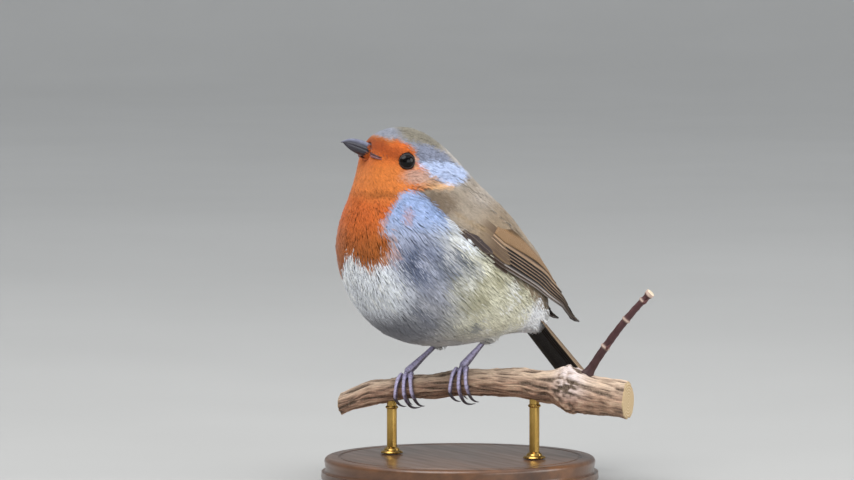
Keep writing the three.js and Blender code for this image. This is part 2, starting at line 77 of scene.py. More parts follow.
# Markings seen from the side, as outlines of [forward, up].
ORANGE_OUTLINE = (
    (37, 79), (22.8, 76.8), (21.2, 76.1), (19.9, 75.6), (18.0, 75.2), (15.2, 74.4), (13.3, 73.4),
    (11.7, 72.2), (11.3, 70.6), (11.0, 68.2), (10.2, 66.4), (8.8, 64.6), (8.0, 62.8), (6.4, 61.6),
    (3.4, 61.0), (1.8, 60.5), (4.6, 59.7), (10.1, 59.4), (13.1, 58.8), (15.1, 58.9), (17.2, 58.6),
    (19.0, 58.2), (21.7, 54.2), (23.6, 51.0), (25.4, 48.0), (23.6, 45.0), (23.4, 41.6), (26.2, 37.2),
    (27.2, 32.0), (37, 31.0),
)
BROWN_OUTLINE = (
    (22.5, 77.0), (20.5, 75.9), (18.5, 75.3), (15.2, 74.8), (10.7, 73.6), (5.6, 72.4), (0.6, 70.0),
    (-1.2, 67.6), (-3.9, 65.6), (-7.7, 64.0), (-4.3, 61.8), (-0.5, 60.9), (4.0, 60.6), (10.0, 60.5),
    (15.6, 60.2), (10.4, 54.6), (4.5, 48.0), (0.0, 43.7), (-8.0, 36.6), (-16.0, 30.8), (-26.0, 24.8),
    (-34.0, 20.5), (-47.0, 12.0), (-62.0, 12.0), (-62.0, 90.0), (22.0, 90.0),
)
BUFF_BAND = ((4.6, 52.3), (-0.4, 48.9), (-5.4, 47.0), (-10.9, 43.6))  # a line of buff tips across the coverts
WEDGE_TOP = 39.8  # the pale belly reaches up between the two lobes of the orange breast
WEDGE_SIDE = 3.0
WEDGE_SLOPE = 0.6

# ---- Colours ----

def shade(code):
    """Linear colour of a painter's hex code."""
    value = np.array([int(code[i:i + 2], 16) / 255 for i in (0, 2, 4)])
    return np.where(value <= 0.04045, value / 12.92, ((value + 0.055) / 1.055) ** 2.4)


ORANGE = shade("c96325")
ORANGE_BRIGHT = shade("d47a38")
ORANGE_DEEP = shade("a35b23")
ORANGE_DARK = shade("9c5226")
LORE = shade("8d3b0b")
AMBER = shade("cfa066")
CHEEK = shade("b89788")
BUFF = shade("e6c49c")
GREY_BROW = shade("868b99")
SLATE = shade("7c8193")
BLUE = shade("b2c1e2")
BLUE_MID = shade("a9aec2")
BLUE_SIDE = shade("97acd6")
BLUE_WHITE = shade("f2f7ff")
CROWN = shade("827c6e")
NAPE = shade("b0a9a2")
MANTLE = shade("978b7c")
# Pale mantle tone, used for fine flecks and for a painted highlight along the scapulars.
MANTLE_PALE_AND_HIGHLIGHT = shade("aea398")
COVERT = shade("8f7a60")
COVERT_BUFF = shade("9c8463")
WHITE = shade("f6f8fc")
BELLY = shade("b2b3ba")
BELLY_LOW = shade("c2c2c0")
# Darker grey, painted as shade low on the front of the belly.
BELLY_PAINTED_SHADE = shade("84878f")
SCAPULAR = shade("6a5b4b")
FLANK = shade("e8e5cb")
OLIVE = shade("847e5a")
STREAK = shade("46536f")
QUILL_DARK = shade("241a16")
QUILL_BROWN = shade("5e4a3c")
QUILL_EDGE = shade("c2a68c")
QUILL_GREY = shade("b8b2b0")
QUILL_PALE = shade("dcd2cc")
TERTIAL = shade("86653f")
TAIL_DARK = shade("261c18")
TAIL_EDGE = shade("9a8166")
TAIL_BROWN = shade("6a5443")


# ---- Places and patterns ----

def middle_of(node):
    low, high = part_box(node)
    return (Vector(low) + Vector(high)) / 2


EYES_MIDDLE = np.array((middle_of("eye_left") + middle_of("eye_right")) / 2)
ORIGIN = EYES_MIDDLE + np.array((0, EYE_FORWARD, -EYE_UP)) * MM


def unit(v):
    return v / np.maximum(np.linalg.norm(v, axis=-1, keepdims=True), 1e-9)


def ramp(low, high, x):
    """0 below low and 1 above high, smooth between; low may be the larger."""
    t = np.clip((x - low) / (high - low), 0, 1)
    return t * t * (3 - 2 * t)


def blend(a, b, share):
    return a + (b - a) * share


def mix(a, b, share):
    """A colour between two others; each may be one colour or one for every place."""
    return a + (b - a) * np.asarray(share, float)[..., None]


def bezier(points, t):
    p = np.array(points, float)
    t = np.asarray(t, float)[..., None]
    return (1 - t) ** 3 * p[0] + 3 * t * (1 - t) ** 2 * p[1] + 3 * t * t * (1 - t) * p[2] + t ** 3 * p[3]


def scatter(cell):
    """A steady pseudo-random number from 0 to 1 for each whole-numbered cell."""
    c = cell.astype(np.int64)
    h = (c[..., 0] * 374761393 + c[..., 1] * 668265263 + c[..., 2] * 2147483647) & 0xFFFFFFFF
    h = ((h ^ (h >> 13)) * 1274126177) & 0xFFFFFFFF
    return ((h ^ (h >> 16)) & 0xFFFF) / 65535.0


def cloud(points, size, seed=0):
    """Smooth noise from -1 to 1, with patches of about that size; size may be one number for each axis."""
    p = np.asarray(points, float) / size + seed * 17.31 + 1000
    base = np.floor(p)
    t = p - base
    t = t * t * (3 - 2 * t)
    total = 0
    for corner in np.ndindex(2, 2, 2):
        c = np.array(corner)
        weight = np.prod(np.where(c == 1, t, 1 - t), axis=-1)
        total = total + weight * scatter(base + c)
    return 2 * total - 1


def inside(outline, x, y):
    """How far inside a closed outline each place is, negative outside it."""
    crossings = np.zeros(np.shape(x), int)
    ring = [*outline, outline[0]]
    for (ax, ay), (bx, by) in zip(ring[:-1], ring[1:]):
        with np.errstate(divide="ignore", invalid="ignore"):
            meets = ((ay > y) != (by > y)) & (x < (bx - ax) * (y - ay) / (by - ay) + ax)
        crossings += meets
    return from_line(ring, x, y) * np.where(crossings % 2 == 1, 1, -1)


def from_line(line, x, y):
    """How far each place is from a line of corners."""
    nearest = np.full(np.shape(x), 1e9)
    for (ax, ay), (bx, by) in zip(line[:-1], line[1:]):
        dx, dy = bx - ax, by - ay
        t = np.clip(((x - ax) * dx + (y - ay) * dy) / (dx * dx + dy * dy), 0, 1)
        nearest = np.minimum(nearest, np.hypot(x - ax - t * dx, y - ay - t * dy))
    return nearest


def spot(f, z, centre, size):
    """1 in the middle of an oval seen from the side, fading to 0 at its rim."""
    d = np.hypot((f - centre[0]) / size[0], (z - centre[1]) / size[1])
    return ramp(1.0, 0.35, d)


AXIS = np.array(RUMP) - np.array(FACE)
AXIS_LENGTH = np.linalg.norm(AXIS)
AXIS = AXIS / AXIS_LENGTH
AXIS_FRONT = np.array((0, -AXIS[2], AXIS[1])) * -1


def round_the_body(points):
    """Distance down the body from the face, and round it from the middle of the breast, in millimetres."""
    d = points - np.array(FACE)
    along = d @ AXIS
    angle = np.arctan2(d[..., 0], d @ AXIS_FRONT)
    return along, angle


def lie(points):
    """The way that the feathers lie at each place, before it is laid onto the skin."""
    return unit(points - np.array(FACE)) + unit(np.array(RUMP) - points)


def laid(colour, *coats):
    """A colour under others that are laid over it in turn, each with its share at every place."""
    for over, share in coats:
        colour = mix(colour, over, share)
    return colour


def underparts(side, f, z, ragged, soft, streaks, fine):
    """Blue-grey beside the breast, streaked olive on the flanks and white at the vent, with painted shade low
    on the front of the belly.
    """
    flank = ramp(13, -1, f + 3 * soft - 0.25 * (z - 30)) * ramp(52, 42, z) * ramp(11.5, 18, z)
    dark = np.maximum(spot(f, z, (15.5, 38.0), (9.5, 9.5)), 0.8 * spot(f, z, (5.0, 37.0), (10.0, 9.0)))
    dark = np.maximum(dark, 0.6 * ramp(6.5, 2.5, from_line(((26.0, 32.0), (19.0, 25.5), (12.0, 21.5)), f, z)))
    wedge = ramp(15, 9.0, np.abs(side - WEDGE_SIDE) - 0.42 * (WEDGE_TOP - z))
    under_wing = from_line(((6.5, 48.5), (0.5, 41.5)), f, z)
    return laid(
        BELLY,
        (BLUE_MID, ramp(22, 36, z + 2 * soft)),
        (BLUE_SIDE, ramp(42, 52, z + 2 * soft) * ramp(0.0, 6.0, f + 0.35 * (z - 42))),
        (BLUE, ramp(0.1, 0.8, -fine) * ramp(26, 40, z) * 0.5),
        (BELLY_LOW, ramp(22, 12, z) * ramp(14, 4, f)),
        # Painted shade: the front of the belly is painted darker low down.
        (BELLY_PAINTED_SHADE, ramp(24, 17, z) * ramp(6, 16, f) * 0.9),
        (FLANK, 0.9 * flank),
        (OLIVE, flank * ramp(0.0, 0.9, streaks + 0.3 * soft) * 0.65),
        (STREAK, flank * ramp(0.2, 0.9, -streaks) * ramp(-16, -2, f) * 0.75),
        (WHITE, flank * ramp(0.15, 0.8, fine) * 0.55),
        (STREAK, dark * ramp(-0.8, 0.5, streaks) * 0.9),
        (BLUE_WHITE, wedge * ramp(18, 25, z) * ramp(15, 22, f)),
        (WHITE, np.clip(1.8 * spot(f, z, (-30.5, 19.0), (8.5, 9.0)), 0, 1)),
        (BLUE_WHITE, 0.85 * ramp(2.6, 1.0, under_wing + 0.8 * ragged)),
    )


def neck_band(f, z, ragged):
    """The blue-grey band from the brow down the neck to the shoulder."""
    return laid(
        BLUE,
        (SLATE, ramp(66.9, 67.8, z - 0.08 * (f - 3.6) + 0.25 * ragged) * 0.95),
        (GREY_BROW, ramp(9, 14, f) * ramp(70, 73, z)),
    )


def upperparts(f, z, soft, streaks, fine):
    """Olive-brown crown, nape, mantle and coverts, with a line of buff tips and a painted highlight along the
    scapulars.
    """
    brown = laid(
        MANTLE,
        (CROWN, ramp(66, 72, z)),
        (NAPE, spot(f, z, (-2, 66), (9, 8))),
        (GREY_BROW, ramp(13, 17, f) * 0.9),
        (COVERT, ramp(52, 44, z + 0.4 * f) * 0.7),
        (COVERT_BUFF, ramp(1.4, 0.4, from_line(BUFF_BAND, f, z) + 0.4 * soft) * 0.5),
        # Painted highlight: a pale band along the scapulars' edge.
        (MANTLE_PALE_AND_HIGHLIGHT, spot(f, z, (-9, 56.5), (10, 3.6)) * 0.7),
        (SCAPULAR, spot(f, z, (8.5, 56.0), (8.5, 5.5)) * 0.9),
        (MANTLE_PALE_AND_HIGHLIGHT, ramp(0.2, 0.9, fine) * 0.18),
    )
    return brown * (1 + 0.10 * streaks[:, None] + 0.06 * soft[:, None])


def orange_parts(f, z, soft, streaks, fine, edge):
    """Orange face and breast, rusty before the eye, paler along the edge and on the cheek."""
    return laid(
        ORANGE,
        (ORANGE_BRIGHT, spot(f, z, (22, 62), (11, 9))),
        (ORANGE_BRIGHT, ramp(0.1, 0.9, fine) * 0.4),
        (ORANGE_DEEP, ramp(50, 41, z + 1.5 * soft) * 0.9),
        (ORANGE_DEEP, spot(f, z, (20.5, 75.6), (6.0, 2.6)) * 0.9),
        (LORE, spot(f, z, (22.6, 73.2), (3.6, 3.0)) * 0.8),
        (LORE, spot(f, z, (19.2, 70.8), (5.0, 2.9)) * 0.7),
        (ORANGE_DEEP, spot(f, z, (22.0, 58.0), (9.0, 1.7)) * 0.7),
        (ORANGE_DARK, ramp(48, 38, z) * ramp(0.1, 0.9, streaks) * 0.45),
        (AMBER, ramp(0.9, 0.0, edge) * 0.4),
        (mix(AMBER, BUFF, 0.4), ramp(15.5, 9, f) * ramp(63.8, 62.2, z) * 0.85),
        (CHEEK, spot(f, z, (12.0, 63.2), (8.0, 3.4)) * (0.9 + 0.1 * fine)),
    )


def plumage(points):
    """The colour of the feathers at each place, for skin and coat alike."""
    side, f, z = points[:, 0], -points[:, 1], points[:, 2]
    along, angle = round_the_body(points)
    lengthwise = np.stack([angle * 20, along, np.zeros_like(along)], axis=1)
    ragged = cloud(points, 2.6, 1) + 0.6 * cloud(points, 1.1, 2)
    soft = cloud(points, 6.0, 3)
    streaks = cloud(lengthwise, (1.5, 7.0, 1.0), 4) + 0.7 * cloud(lengthwise, (2.6, 12.0, 1.0), 8)
    fine = cloud(lengthwise, (0.8, 4.0, 1.0), 5)
    frayed = ragged * blend(0.8, 0.4, ramp(56, 60, z))
    edge = inside(ORANGE_OUTLINE, f, z) + frayed
    edge = np.minimum(edge, z - WEDGE_TOP + WEDGE_SLOPE * np.abs(side - WEDGE_SIDE) + frayed)
    islands = spot(f, z, (18.6, 51.2), (2.0, 3.6)) + spot(f, z, (23.6, 40.2), (2.4, 2.6))
    crescent = 0.7 * spot(f, z, (12.2, 68.4), (1.0, 2.9)) + 0.9 * spot(f, z, (12.7, 66.6), (1.8, 0.9))
    return laid(
        underparts(side, f, z, ragged, soft, streaks, fine),
        (neck_band(f, z, ragged), ramp(58.5, 60.5, z)),
        (upperparts(f, z, soft, streaks, fine), ramp(-0.7, 0.7, inside(BROWN_OUTLINE, f, z) + 0.35 * ragged)),
        (mix(CHEEK, ORANGE, 0.35), 0.8 * islands * ramp(-0.5, 0.5, fine + 0.3)),
        (orange_parts(f, z, soft, streaks, fine, edge), ramp(-0.6, 0.8, edge) * ramp(0.0, 0.4, f)),
        (BUFF, np.clip(crescent, 0, 1) * 0.8),
    )


# ---- Mesh helpers ----

def mesh_points(mesh):
    """A mesh's vertices in millimetres from the bird's own origin."""
    co = np.empty(len(mesh.vertices) * 3, np.float32)
    mesh.vertices.foreach_get("co", co)
    return (co.reshape(-1, 3).astype(float) - ORIGIN) / MM


def place(mesh, points):
    mesh.vertices.foreach_set("co", (ORIGIN + points * MM).astype(np.float32).ravel())
    mesh.update()


def new_piece(name, points, faces):
    """A mesh object from points in millimetres and arrays of faces, each array with one number of corners."""
    faces = [np.asarray(f, np.int32) for f in (faces if isinstance(faces, list) else [faces])]
    mesh = bpy.data.meshes.new(name)
    mesh.vertices.add(len(points))
    corners = np.concatenate([f.ravel() for f in faces])
    sizes = np.concatenate([np.full(len(f), f.shape[1], np.int32) for f in faces])
    mesh.loops.add(len(corners))
    mesh.loops.foreach_set("vertex_index", corners)
    mesh.polygons.add(len(sizes))
    starts = np.concatenate([[0], np.cumsum(sizes)[:-1]]).astype(np.int32)
    mesh.polygons.foreach_set("loop_start", starts)
    mesh.polygons.foreach_set("use_smooth", np.ones(len(sizes), bool))
    place(mesh, np.asarray(points, float))
    mesh.validate()
    piece = bpy.data.objects.new(name, mesh)
    bpy.context.scene.collection.objects.link(piece)
    return piece


def shade_smooth(piece):
    piece.data.polygons.foreach_set("use_smooth", np.ones(len(piece.data.polygons), bool))


def soften(piece, normals):
    """Gives a piece's vertices the smooth normals of the form under them."""
    piece.data.normals_split_custom_set_from_vertices(unit(normals).astype(np.float32).tolist())


def paint(piece, colours):
    """Stores a colour for each vertex, which the plumage materials read."""
    layer = piece.data.color_attributes.new("Plumage", "FLOAT_COLOR", "POINT")
    rgba = np.ones((len(piece.data.vertices), 4), np.float32)
    rgba[:, :3] = np.clip(colours, 0, 1)
    layer.data.foreach_set("color", rgba.ravel())


def map_uv(piece, name, uv):
    """A UV map from one place for each vertex."""
    corner = np.empty(len(piece.data.loops), np.int32)
    piece.data.loops.foreach_get("vertex_index", corner)
    layer = piece.data.uv_layers.new(name=name)
    layer.data.foreach_set("uv", uv[corner].astype(np.float32).ravel())


def finish_piece(piece, material, replaces=()):
    piece.data.materials.clear()
    for m in material if isinstance(material, (list, tuple)) else [material]:
        piece.data.materials.append(m)
    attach(piece, "root")
    if replaces:
        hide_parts(*replaces)
    return piece


def pick_only(piece):
    """Makes one object the only selected and active one."""
    bpy.ops.object.select_all(action="DESELECT")
    piece.select_set(True)
    bpy.context.view_layer.objects.active = piece


def apply_modifier(piece, kind, **settings):
    pick_only(piece)
    modifier = piece.modifiers.new(kind.title(), kind)
    for key, value in settings.items():
        setattr(modifier, key, value)
    bpy.ops.object.modifier_apply(modifier=modifier.name)


def united(name, nodes, grow, voxel, rounds, pads=()):
    """Copies of CAD nodes, grown a little, melted with round pads into one skin and smoothed."""
    shell = bmesh.new()
    for centre, radius in pads:
        at = Matrix.Translation(Vector(ORIGIN + np.array(centre) * MM))
        bmesh.ops.create_icosphere(shell, subdivisions=3, radius=radius * MM, matrix=at)
    for node in nodes:
        one = bmesh.new()
        one.from_mesh(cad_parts[node].data)
        bmesh.ops.remove_doubles(one, verts=one.verts, dist=0.002 * MM)
        one.normal_update()
        outwards = [v.normal.copy() for v in one.verts]
        for vert, normal in zip(one.verts, outwards):
            vert.co += normal * grow * MM
        part = bpy.data.meshes.new("part")
        one.to_mesh(part)
        shell.from_mesh(part)
        bpy.data.meshes.remove(part)
        one.free()
    mesh = bpy.data.meshes.new(name)
    shell.to_mesh(mesh)
    shell.free()
    piece = bpy.data.objects.new(name, mesh)
    bpy.context.scene.collection.objects.link(piece)
    apply_modifier(piece, "REMESH", mode="VOXEL", voxel_size=voxel * MM)
    apply_modifier(piece, "SMOOTH", factor=0.5, iterations=rounds)
    return piece


def vertex_normals(mesh):
    n = np.empty(len(mesh.vertices) * 3, np.float32)
    mesh.vertices.foreach_get("normal", n)
    return n.reshape(-1, 3).astype(float)


class Surface:
    """A mesh that feathers are laid on, with nearest places and smooth normals, in millimetres."""

    def __init__(self, mesh):
        mesh.calc_loop_triangles()
        corners = np.empty(len(mesh.loop_triangles) * 3, np.int32)
        mesh.loop_triangles.foreach_get("vertices", corners)
        self.triangles = corners.reshape(-1, 3)
        self.points = mesh_points(mesh)
        normals = vertex_normals(mesh)
        self.normals = unit(normals[self.triangles].sum(axis=1))
        self.tree = BVHTree.FromPolygons(self.points.tolist(), self.triangles.tolist())

    def nearest(self, places):
        found = np.empty_like(places)
        normal = np.empty_like(places)
        for i, p in enumerate(places):
            spot_at, _, face, _ = self.tree.find_nearest(p)
            found[i] = spot_at
            normal[i] = self.normals[face]
        return found, normal

    def seen_from_left(self, f, z):
        """The outer face at a place seen from the bird's left, with its normal."""
        hit, _, face, _ = self.tree.ray_cast(Vector((60, -f, z)), Vector((-1, 0, 0)))
        if hit is None or hit[0] < 3:
            side = 7 + 14 * float(ramp(-45, -22, f))
            hit, _, face, _ = self.tree.find_nearest(Vector((side, -f, z)))
            return np.array((hit[0], -f, z)), unit(self.normals[face] * (1, 0.3, 0.3))
        return np.array(hit), self.normals[face]

    def sample(self, spacing, keep):
        """Places spread over the surface, no two nearer than spacing says, where keep allows them."""
        TRIES = 3.2  # for each place that there's room for
        a, b, c = (self.points[self.triangles[:, i]] for i in range(3))
        area = np.linalg.norm(np.cross(b - a, c - a), axis=1) / 2
        centre = (a + b + c) / 3
        weight = area / spacing(centre) ** 2
        count = int(TRIES * weight.sum())
        face = draw.choice(len(area), count, p=weight / weight.sum())
        u, v = draw.random(count), draw.random(count)
        u, v = np.where(u + v > 1, 1 - u, u), np.where(u + v > 1, 1 - v, v)
        places = a[face] + (b - a)[face] * u[:, None] + (c - a)[face] * v[:, None]
        allowed = keep(places)
        places, face = places[allowed], face[allowed]
        reach = spacing(places)
        cell_size = reach.max()
        cells = np.floor(places / cell_size).astype(int)
        kept, taken = [], {}
        for i, (cell, p, r) in enumerate(zip(map(tuple, cells.tolist()), places.tolist(), reach.tolist())):
            around = [taken.get((cell[0] + dx, cell[1] + dy, cell[2] + dz), ())
                      for dx in (-1, 0, 1) for dy in (-1, 0, 1) for dz in (-1, 0, 1)]
            if not any((p[0] - q[0]) ** 2 + (p[1] - q[1]) ** 2 + (p[2] - q[2]) ** 2 < r * r
                       for near in around for q in near):
                kept.append(i)
                taken.setdefault(cell, []).append(p)
        return places[kept], self.normals[face[kept]]


# ---- Node materials ----

def node_group(name, inputs, outputs):
    group = bpy.data.node_groups.new(name, "ShaderNodeTree")
    for socket, kind, value in inputs:
        made = group.interface.new_socket(name=socket, in_out="INPUT", socket_type=kind)
        if value is not None:
            made.default_value = value
    for socket, kind in outputs:
        group.interface.new_socket(name=socket, in_out="OUTPUT", socket_type=kind)
    return group, group.nodes.new("NodeGroupInput"), group.nodes.new("NodeGroupOutput")


def node(tree, kind, **settings):
    made = tree.nodes.new(kind)
    for key, value in settings.items():
        setattr(made, key, value)
    return made


def grain_group():
    """Fine uneven grain: a mask and a height, from streaks stretched along one axis of a coordinate."""
    group, given, out = node_group(
        "Grain",
        [("Coordinate", "NodeSocketVector", None), ("Scale", "NodeSocketFloat", 400.0),
         ("Stretch", "NodeSocketVector", (1, 1, 1)), ("Detail", "NodeSocketFloat", 3.0)],
        [("Mask", "NodeSocketFloat"), ("Height", "NodeSocketFloat")],
    )
    stretch = node(group, "ShaderNodeVectorMath", operation="MULTIPLY")
    noise = node(group, "ShaderNodeTexNoise")
    fine = node(group, "ShaderNodeTexNoise")
    fine_scale = node(group, "ShaderNodeMath", operation="MULTIPLY")
    fine_scale.inputs[1].default_value = 3.7
    both = node(group, "ShaderNodeMath", operation="MULTIPLY_ADD")
    both.inputs[1].default_value = 0.4
    contrast = node(group, "ShaderNodeMapRange")
    contrast.inputs["From Min"].default_value = 0.45
    contrast.inputs["From Max"].default_value = 0.95
    link = group.links.new
    link(given.outputs["Coordinate"], stretch.inputs[0])
    link(given.outputs["Stretch"], stretch.inputs[1])
    for texture in (noise, fine):
        link(stretch.outputs[0], texture.inputs["Vector"])
        link(given.outputs["Detail"], texture.inputs["Detail"])
    link(given.outputs["Scale"], noise.inputs["Scale"])
    link(given.outputs["Scale"], fine_scale.inputs[0])
    link(fine_scale.outputs[0], fine.inputs["Scale"])
    link(fine.outputs["Fac"], both.inputs[0])
    link(noise.outputs["Fac"], both.inputs[2])
    link(both.outputs[0], contrast.inputs["Value"])
    link(contrast.outputs[0], out.inputs["Mask"])
    link(both.outputs[0], out.inputs["Height"])
    return group


GRAIN = grain_group()


def start_material(name, roughness, specular=0.5, **constants):
    material = bpy.data.materials.new(name)
    material.use_nodes = True
    tree = material.node_tree
    shader = tree.nodes["Principled BSDF"]
    shader.inputs["Roughness"].default_value = roughness
    shader.inputs["Specular IOR Level"].default_value = specular
    for key, value in constants.items():
        shader.inputs[key.replace("_", " ")].default_value = value
    return material, tree, shader


def add_grain(tree, coordinate, scale, stretch=(1, 1, 1), detail=3.0):
    """Grain's mask and height on a coordinate."""
    grain = node(tree, "ShaderNodeGroup", node_tree=GRAIN)
    grain.inputs["Scale"].default_value = scale
    grain.inputs["Stretch"].default_value = stretch
    grain.inputs["Detail"].default_value = detail
    tree.links.new(coordinate, grain.inputs["Coordinate"])
    return grain.outputs["Mask"], grain.outputs["Height"]


def object_coordinate(tree):
    return node(tree, "ShaderNodeTexCoord").outputs["Object"]


def uv_coordinate(tree, name):
    return node(tree, "ShaderNodeUVMap", uv_map=name).outputs[0]


def painted(tree):
    """The colour stored at the vertices."""
    return node(tree, "ShaderNodeAttribute", attribute_name="Plumage").outputs["Color"]


def add_wave(tree, coordinate, scale, distortion, **settings):
    wave = node(tree, "ShaderNodeTexWave", **settings)
    wave.inputs["Scale"].default_value = scale
    wave.inputs["Distortion"].default_value = distortion
    tree.links.new(coordinate, wave.inputs["Vector"])
    return wave.outputs["Fac"]


def mix_colour(tree, factor, a, b, blend_type="MIX"):
    """A colour mix; a and b are sockets or linear colours, and factor a socket or a number."""
    made = node(tree, "ShaderNodeMix", data_type="RGBA", blend_type=blend_type)
    for value, socket in ((factor, made.inputs[0]), (a, made.inputs[6]), (b, made.inputs[7])):
        if isinstance(value, bpy.types.NodeSocket):
            tree.links.new(value, socket)
        elif np.ndim(value):
            socket.default_value = (*value, 1)
        else:
            socket.default_value = value
    return made.outputs[2]


def to_range(tree, value, low, high, from_low=0.0, from_high=1.0):
    made = node(tree, "ShaderNodeMapRange")
    made.inputs["From Min"].default_value = from_low
    made.inputs["From Max"].default_value = from_high
    made.inputs["To Min"].default_value = low
    made.inputs["To Max"].default_value = high
    tree.links.new(value, made.inputs["Value"])
    return made.outputs[0]


def ruled(tree, mask, low, high):
    """The painted colour, made darker or lighter by a mask."""
    grey = to_range(tree, mask, low, high)
    tone = node(tree, "ShaderNodeCombineColor")
    for channel in tone.inputs:
        tree.links.new(grey, channel)
    return mix_colour(tree, 1.0, painted(tree), tone.outputs[0], "MULTIPLY")


def dress(tree, shader, colour, mask, height, spread=None, relief=None):
    """Joins up a shader: colour, roughness between two values by a mask, and relief by depth and strength."""
    tree.links.new(colour, shader.inputs["Base Color"])
    if spread:
        tree.links.new(to_range(tree, mask, *spread), shader.inputs["Roughness"])
    if relief:
        bump = node(tree, "ShaderNodeBump")
        bump.inputs["Distance"].default_value = relief[0] * MM
        bump.inputs["Strength"].default_value = relief[1]
        tree.links.new(height, bump.inputs["Height"])
        tree.links.new(bump.outputs[0], shader.inputs["Normal"])


def mottled_material(name, dark, pale, roughness, scale, share=1.0, spread=None, relief=None,
                     stretch=(1, 1, 1), **constants):
    """A surface mottled between two tones; without a dark tone, its painted colours are mottled instead."""
    material, tree, shader = start_material(name, roughness, **constants)
    mask, height = add_grain(tree, object_coordinate(tree), scale, stretch)
    under = painted(tree) if dark is None else shade(dark)
    mottle = mask if share == 1.0 else to_range(tree, mask, 0, share)
    dress(tree, shader, mix_colour(tree, mottle, under, shade(pale)), mask, height, spread, relief)
    return material


def plumage_material(name, scale, contrast, roughness, sheen):
    """Feathers in their painted markings, with fine uneven barbs."""
    material, tree, shader = start_material(name, roughness, 0.2, Sheen_Weight=sheen, Sheen_Roughness=0.5)
    mask, height = add_grain(tree, object_coordinate(tree), scale)
    colour = ruled(tree, mask, 1 - contrast, 1 + contrast)
    dress(tree, shader, colour, mask, height, (roughness - 0.1, roughness + 0.08), (0.15, 0.5))
    return material


def vane_material(name, roughness):
    """Flight feathers: painted webs ruled with close barbs that slant from the shaft."""
    material, tree, shader = start_material(name, roughness, 0.22, Sheen_Weight=0.03)
    barbs = add_wave(tree, uv_coordinate(tree, "Vane"), 26.0, 1.5, wave_type="BANDS", bands_direction="Y")
    colour = ruled(tree, barbs, 0.86, 1.1)
    dress(tree, shader, colour, barbs, barbs, (roughness - 0.08, roughness + 0.08), (0.06, 0.6))
    return material


def bark_material():
    """Ridged bark: its painted furrows with long fibres and small cracks."""
    material, tree, shader = start_material("bark", 0.88, 0.2)
    cracks, height = add_grain(tree, uv_coordinate(tree, "Grain"), 1.2, (0.3, 3.4, 1), 6.0)
    fleck, _ = add_grain(tree, uv_coordinate(tree, "Grain"), 1.0, (1.6, 1.6, 1), 4.0)
    furrow = mix_colour(tree, to_range(tree, cracks, 0.5, 0.0, 0.1, 0.7), painted(tree), shade("37241c"))
    light = mix_colour(tree, to_range(tree, fleck, 0.0, 0.3), furrow, shade("ecd6bc"))
    dress(tree, shader, light, fleck, height, (0.8, 0.95), (0.5, 1.0))
    return material


def cut_wood_material():
    """Sawn end of the branch: pale wood with growth rings."""
    material, tree, shader = start_material("cut wood", 0.7)
    rings = add_wave(tree, uv_coordinate(tree, "Grain"), 0.35, 0.8, wave_type="RINGS", rings_direction="Z")
    mask, _ = add_grain(tree, uv_coordinate(tree, "Grain"), 1.4)
    wood = mix_colour(tree, rings, shade("d8c29c"), shade("b99a70"))
    wood = mix_colour(tree, to_range(tree, mask, 0, 0.3), wood, shade("8e7350"))
    dress(tree, shader, wood, mask, rings, (0.6, 0.85), (0.08, 0.5))
    return material


def base_wood_material():
    """Dark turned hardwood under a satin finish."""
    material, tree, shader = start_material("base wood", 0.32, Coat_Weight=0.4, Coat_Roughness=0.18)
    figure, _ = add_grain(tree, object_coordinate(tree), 60.0, (0.16, 1.0, 1.0), 4.0)
    pores, height = add_grain(tree, object_coordinate(tree), 420.0, (0.08, 1.0, 1.0))
    wood = mix_colour(tree, figure, shade("4a2f1e"), shade("7c5334"))
    wood = mix_colour(tree, to_range(tree, pores, 0.45, 0), wood, shade("2b1a10"))
    dress(tree, shader, wood, pores, height, (0.4, 0.28), (0.05, 0.4))
    return material


def brass_material():
    """Brushed brass, a little tarnished."""
    material, tree, shader = start_material("brass", 0.28, Metallic=1.0)
    tarnish, _ = add_grain(tree, object_coordinate(tree), 120.0)
    brushed, height = add_grain(tree, object_coordinate(tree), 900.0, (1, 1, 0.05))
    colour = mix_colour(tree, tarnish, shade("c9a45c"), shade("9d7c40"))
    dress(tree, shader, colour, brushed, height, (0.2, 0.4), (0.02, 0.4))
    return material


coat_material = plumage_material("contour feathers", 900.0, 0.10, 0.82, 0.25)
skin_material = plumage_material("plumage ground", 600.0, 0.16, 0.9, 0.15)
covert_material = vane_material("wing coverts", 0.62)
quill_material = vane_material("flight feathers", 0.5)
HORN = {"spread": (0.22, 0.45), "relief": (0.05, 0.6), "stretch": (1, 0.5, 1),
        "Coat_Weight": 0.25, "Coat_Roughness": 0.2}
bill_material = mottled_material("bill horn", None, "4e4c5c", 0.3, 350.0, 0.35, **HORN)
claw_material = mottled_material("claw horn", "221d22", "5e5660", 0.3, 600.0, **HORN)
BARE_SKIN = {"spread": (0.4, 0.6), "relief": (0.05, 0.8)}
lid_skin = mottled_material("lid skin", "120d0e", "2a2122", 0.5, 1500.0, **BARE_SKIN)
gape_dark = mottled_material("upper gape skin", "472c2c", "5c3c3c", 0.5, 1500.0, **BARE_SKIN)
gape_pale = mottled_material("lower gape skin", "784c4c", "946468", 0.5, 1500.0, **BARE_SKIN)
eye_gloss = mottled_material("eye", None, "0c0908", 0.05, 1400.0, 0.4, specular=0.2)
leg_skin = mottled_material("leg skin", None, "6a5a6c", 0.36, 900.0, 0.25, (0.34, 0.55), (0.05, 0.7),
                            Coat_Weight=0.5, Coat_Roughness=0.2)
twig_skin = mottled_material("twig bark", None, "6a4446", 0.5, 700.0, 0.3, (0.42, 0.65), (0.08, 0.6))
felt_cloth = mottled_material("felt", "1f2d24", "33463a", 0.95, 1500.0, relief=(0.2, 0.8), Sheen_Weight=0.3)
paper = mottled_material("floor", "b4b4b2", "b9b9b7", 0.95, 3.0, specular=0.1)
bark, cut_wood = bark_material(), cut_wood_material()
base_wood, brass = base_wood_material(), brass_material()


# ---- Skin ----

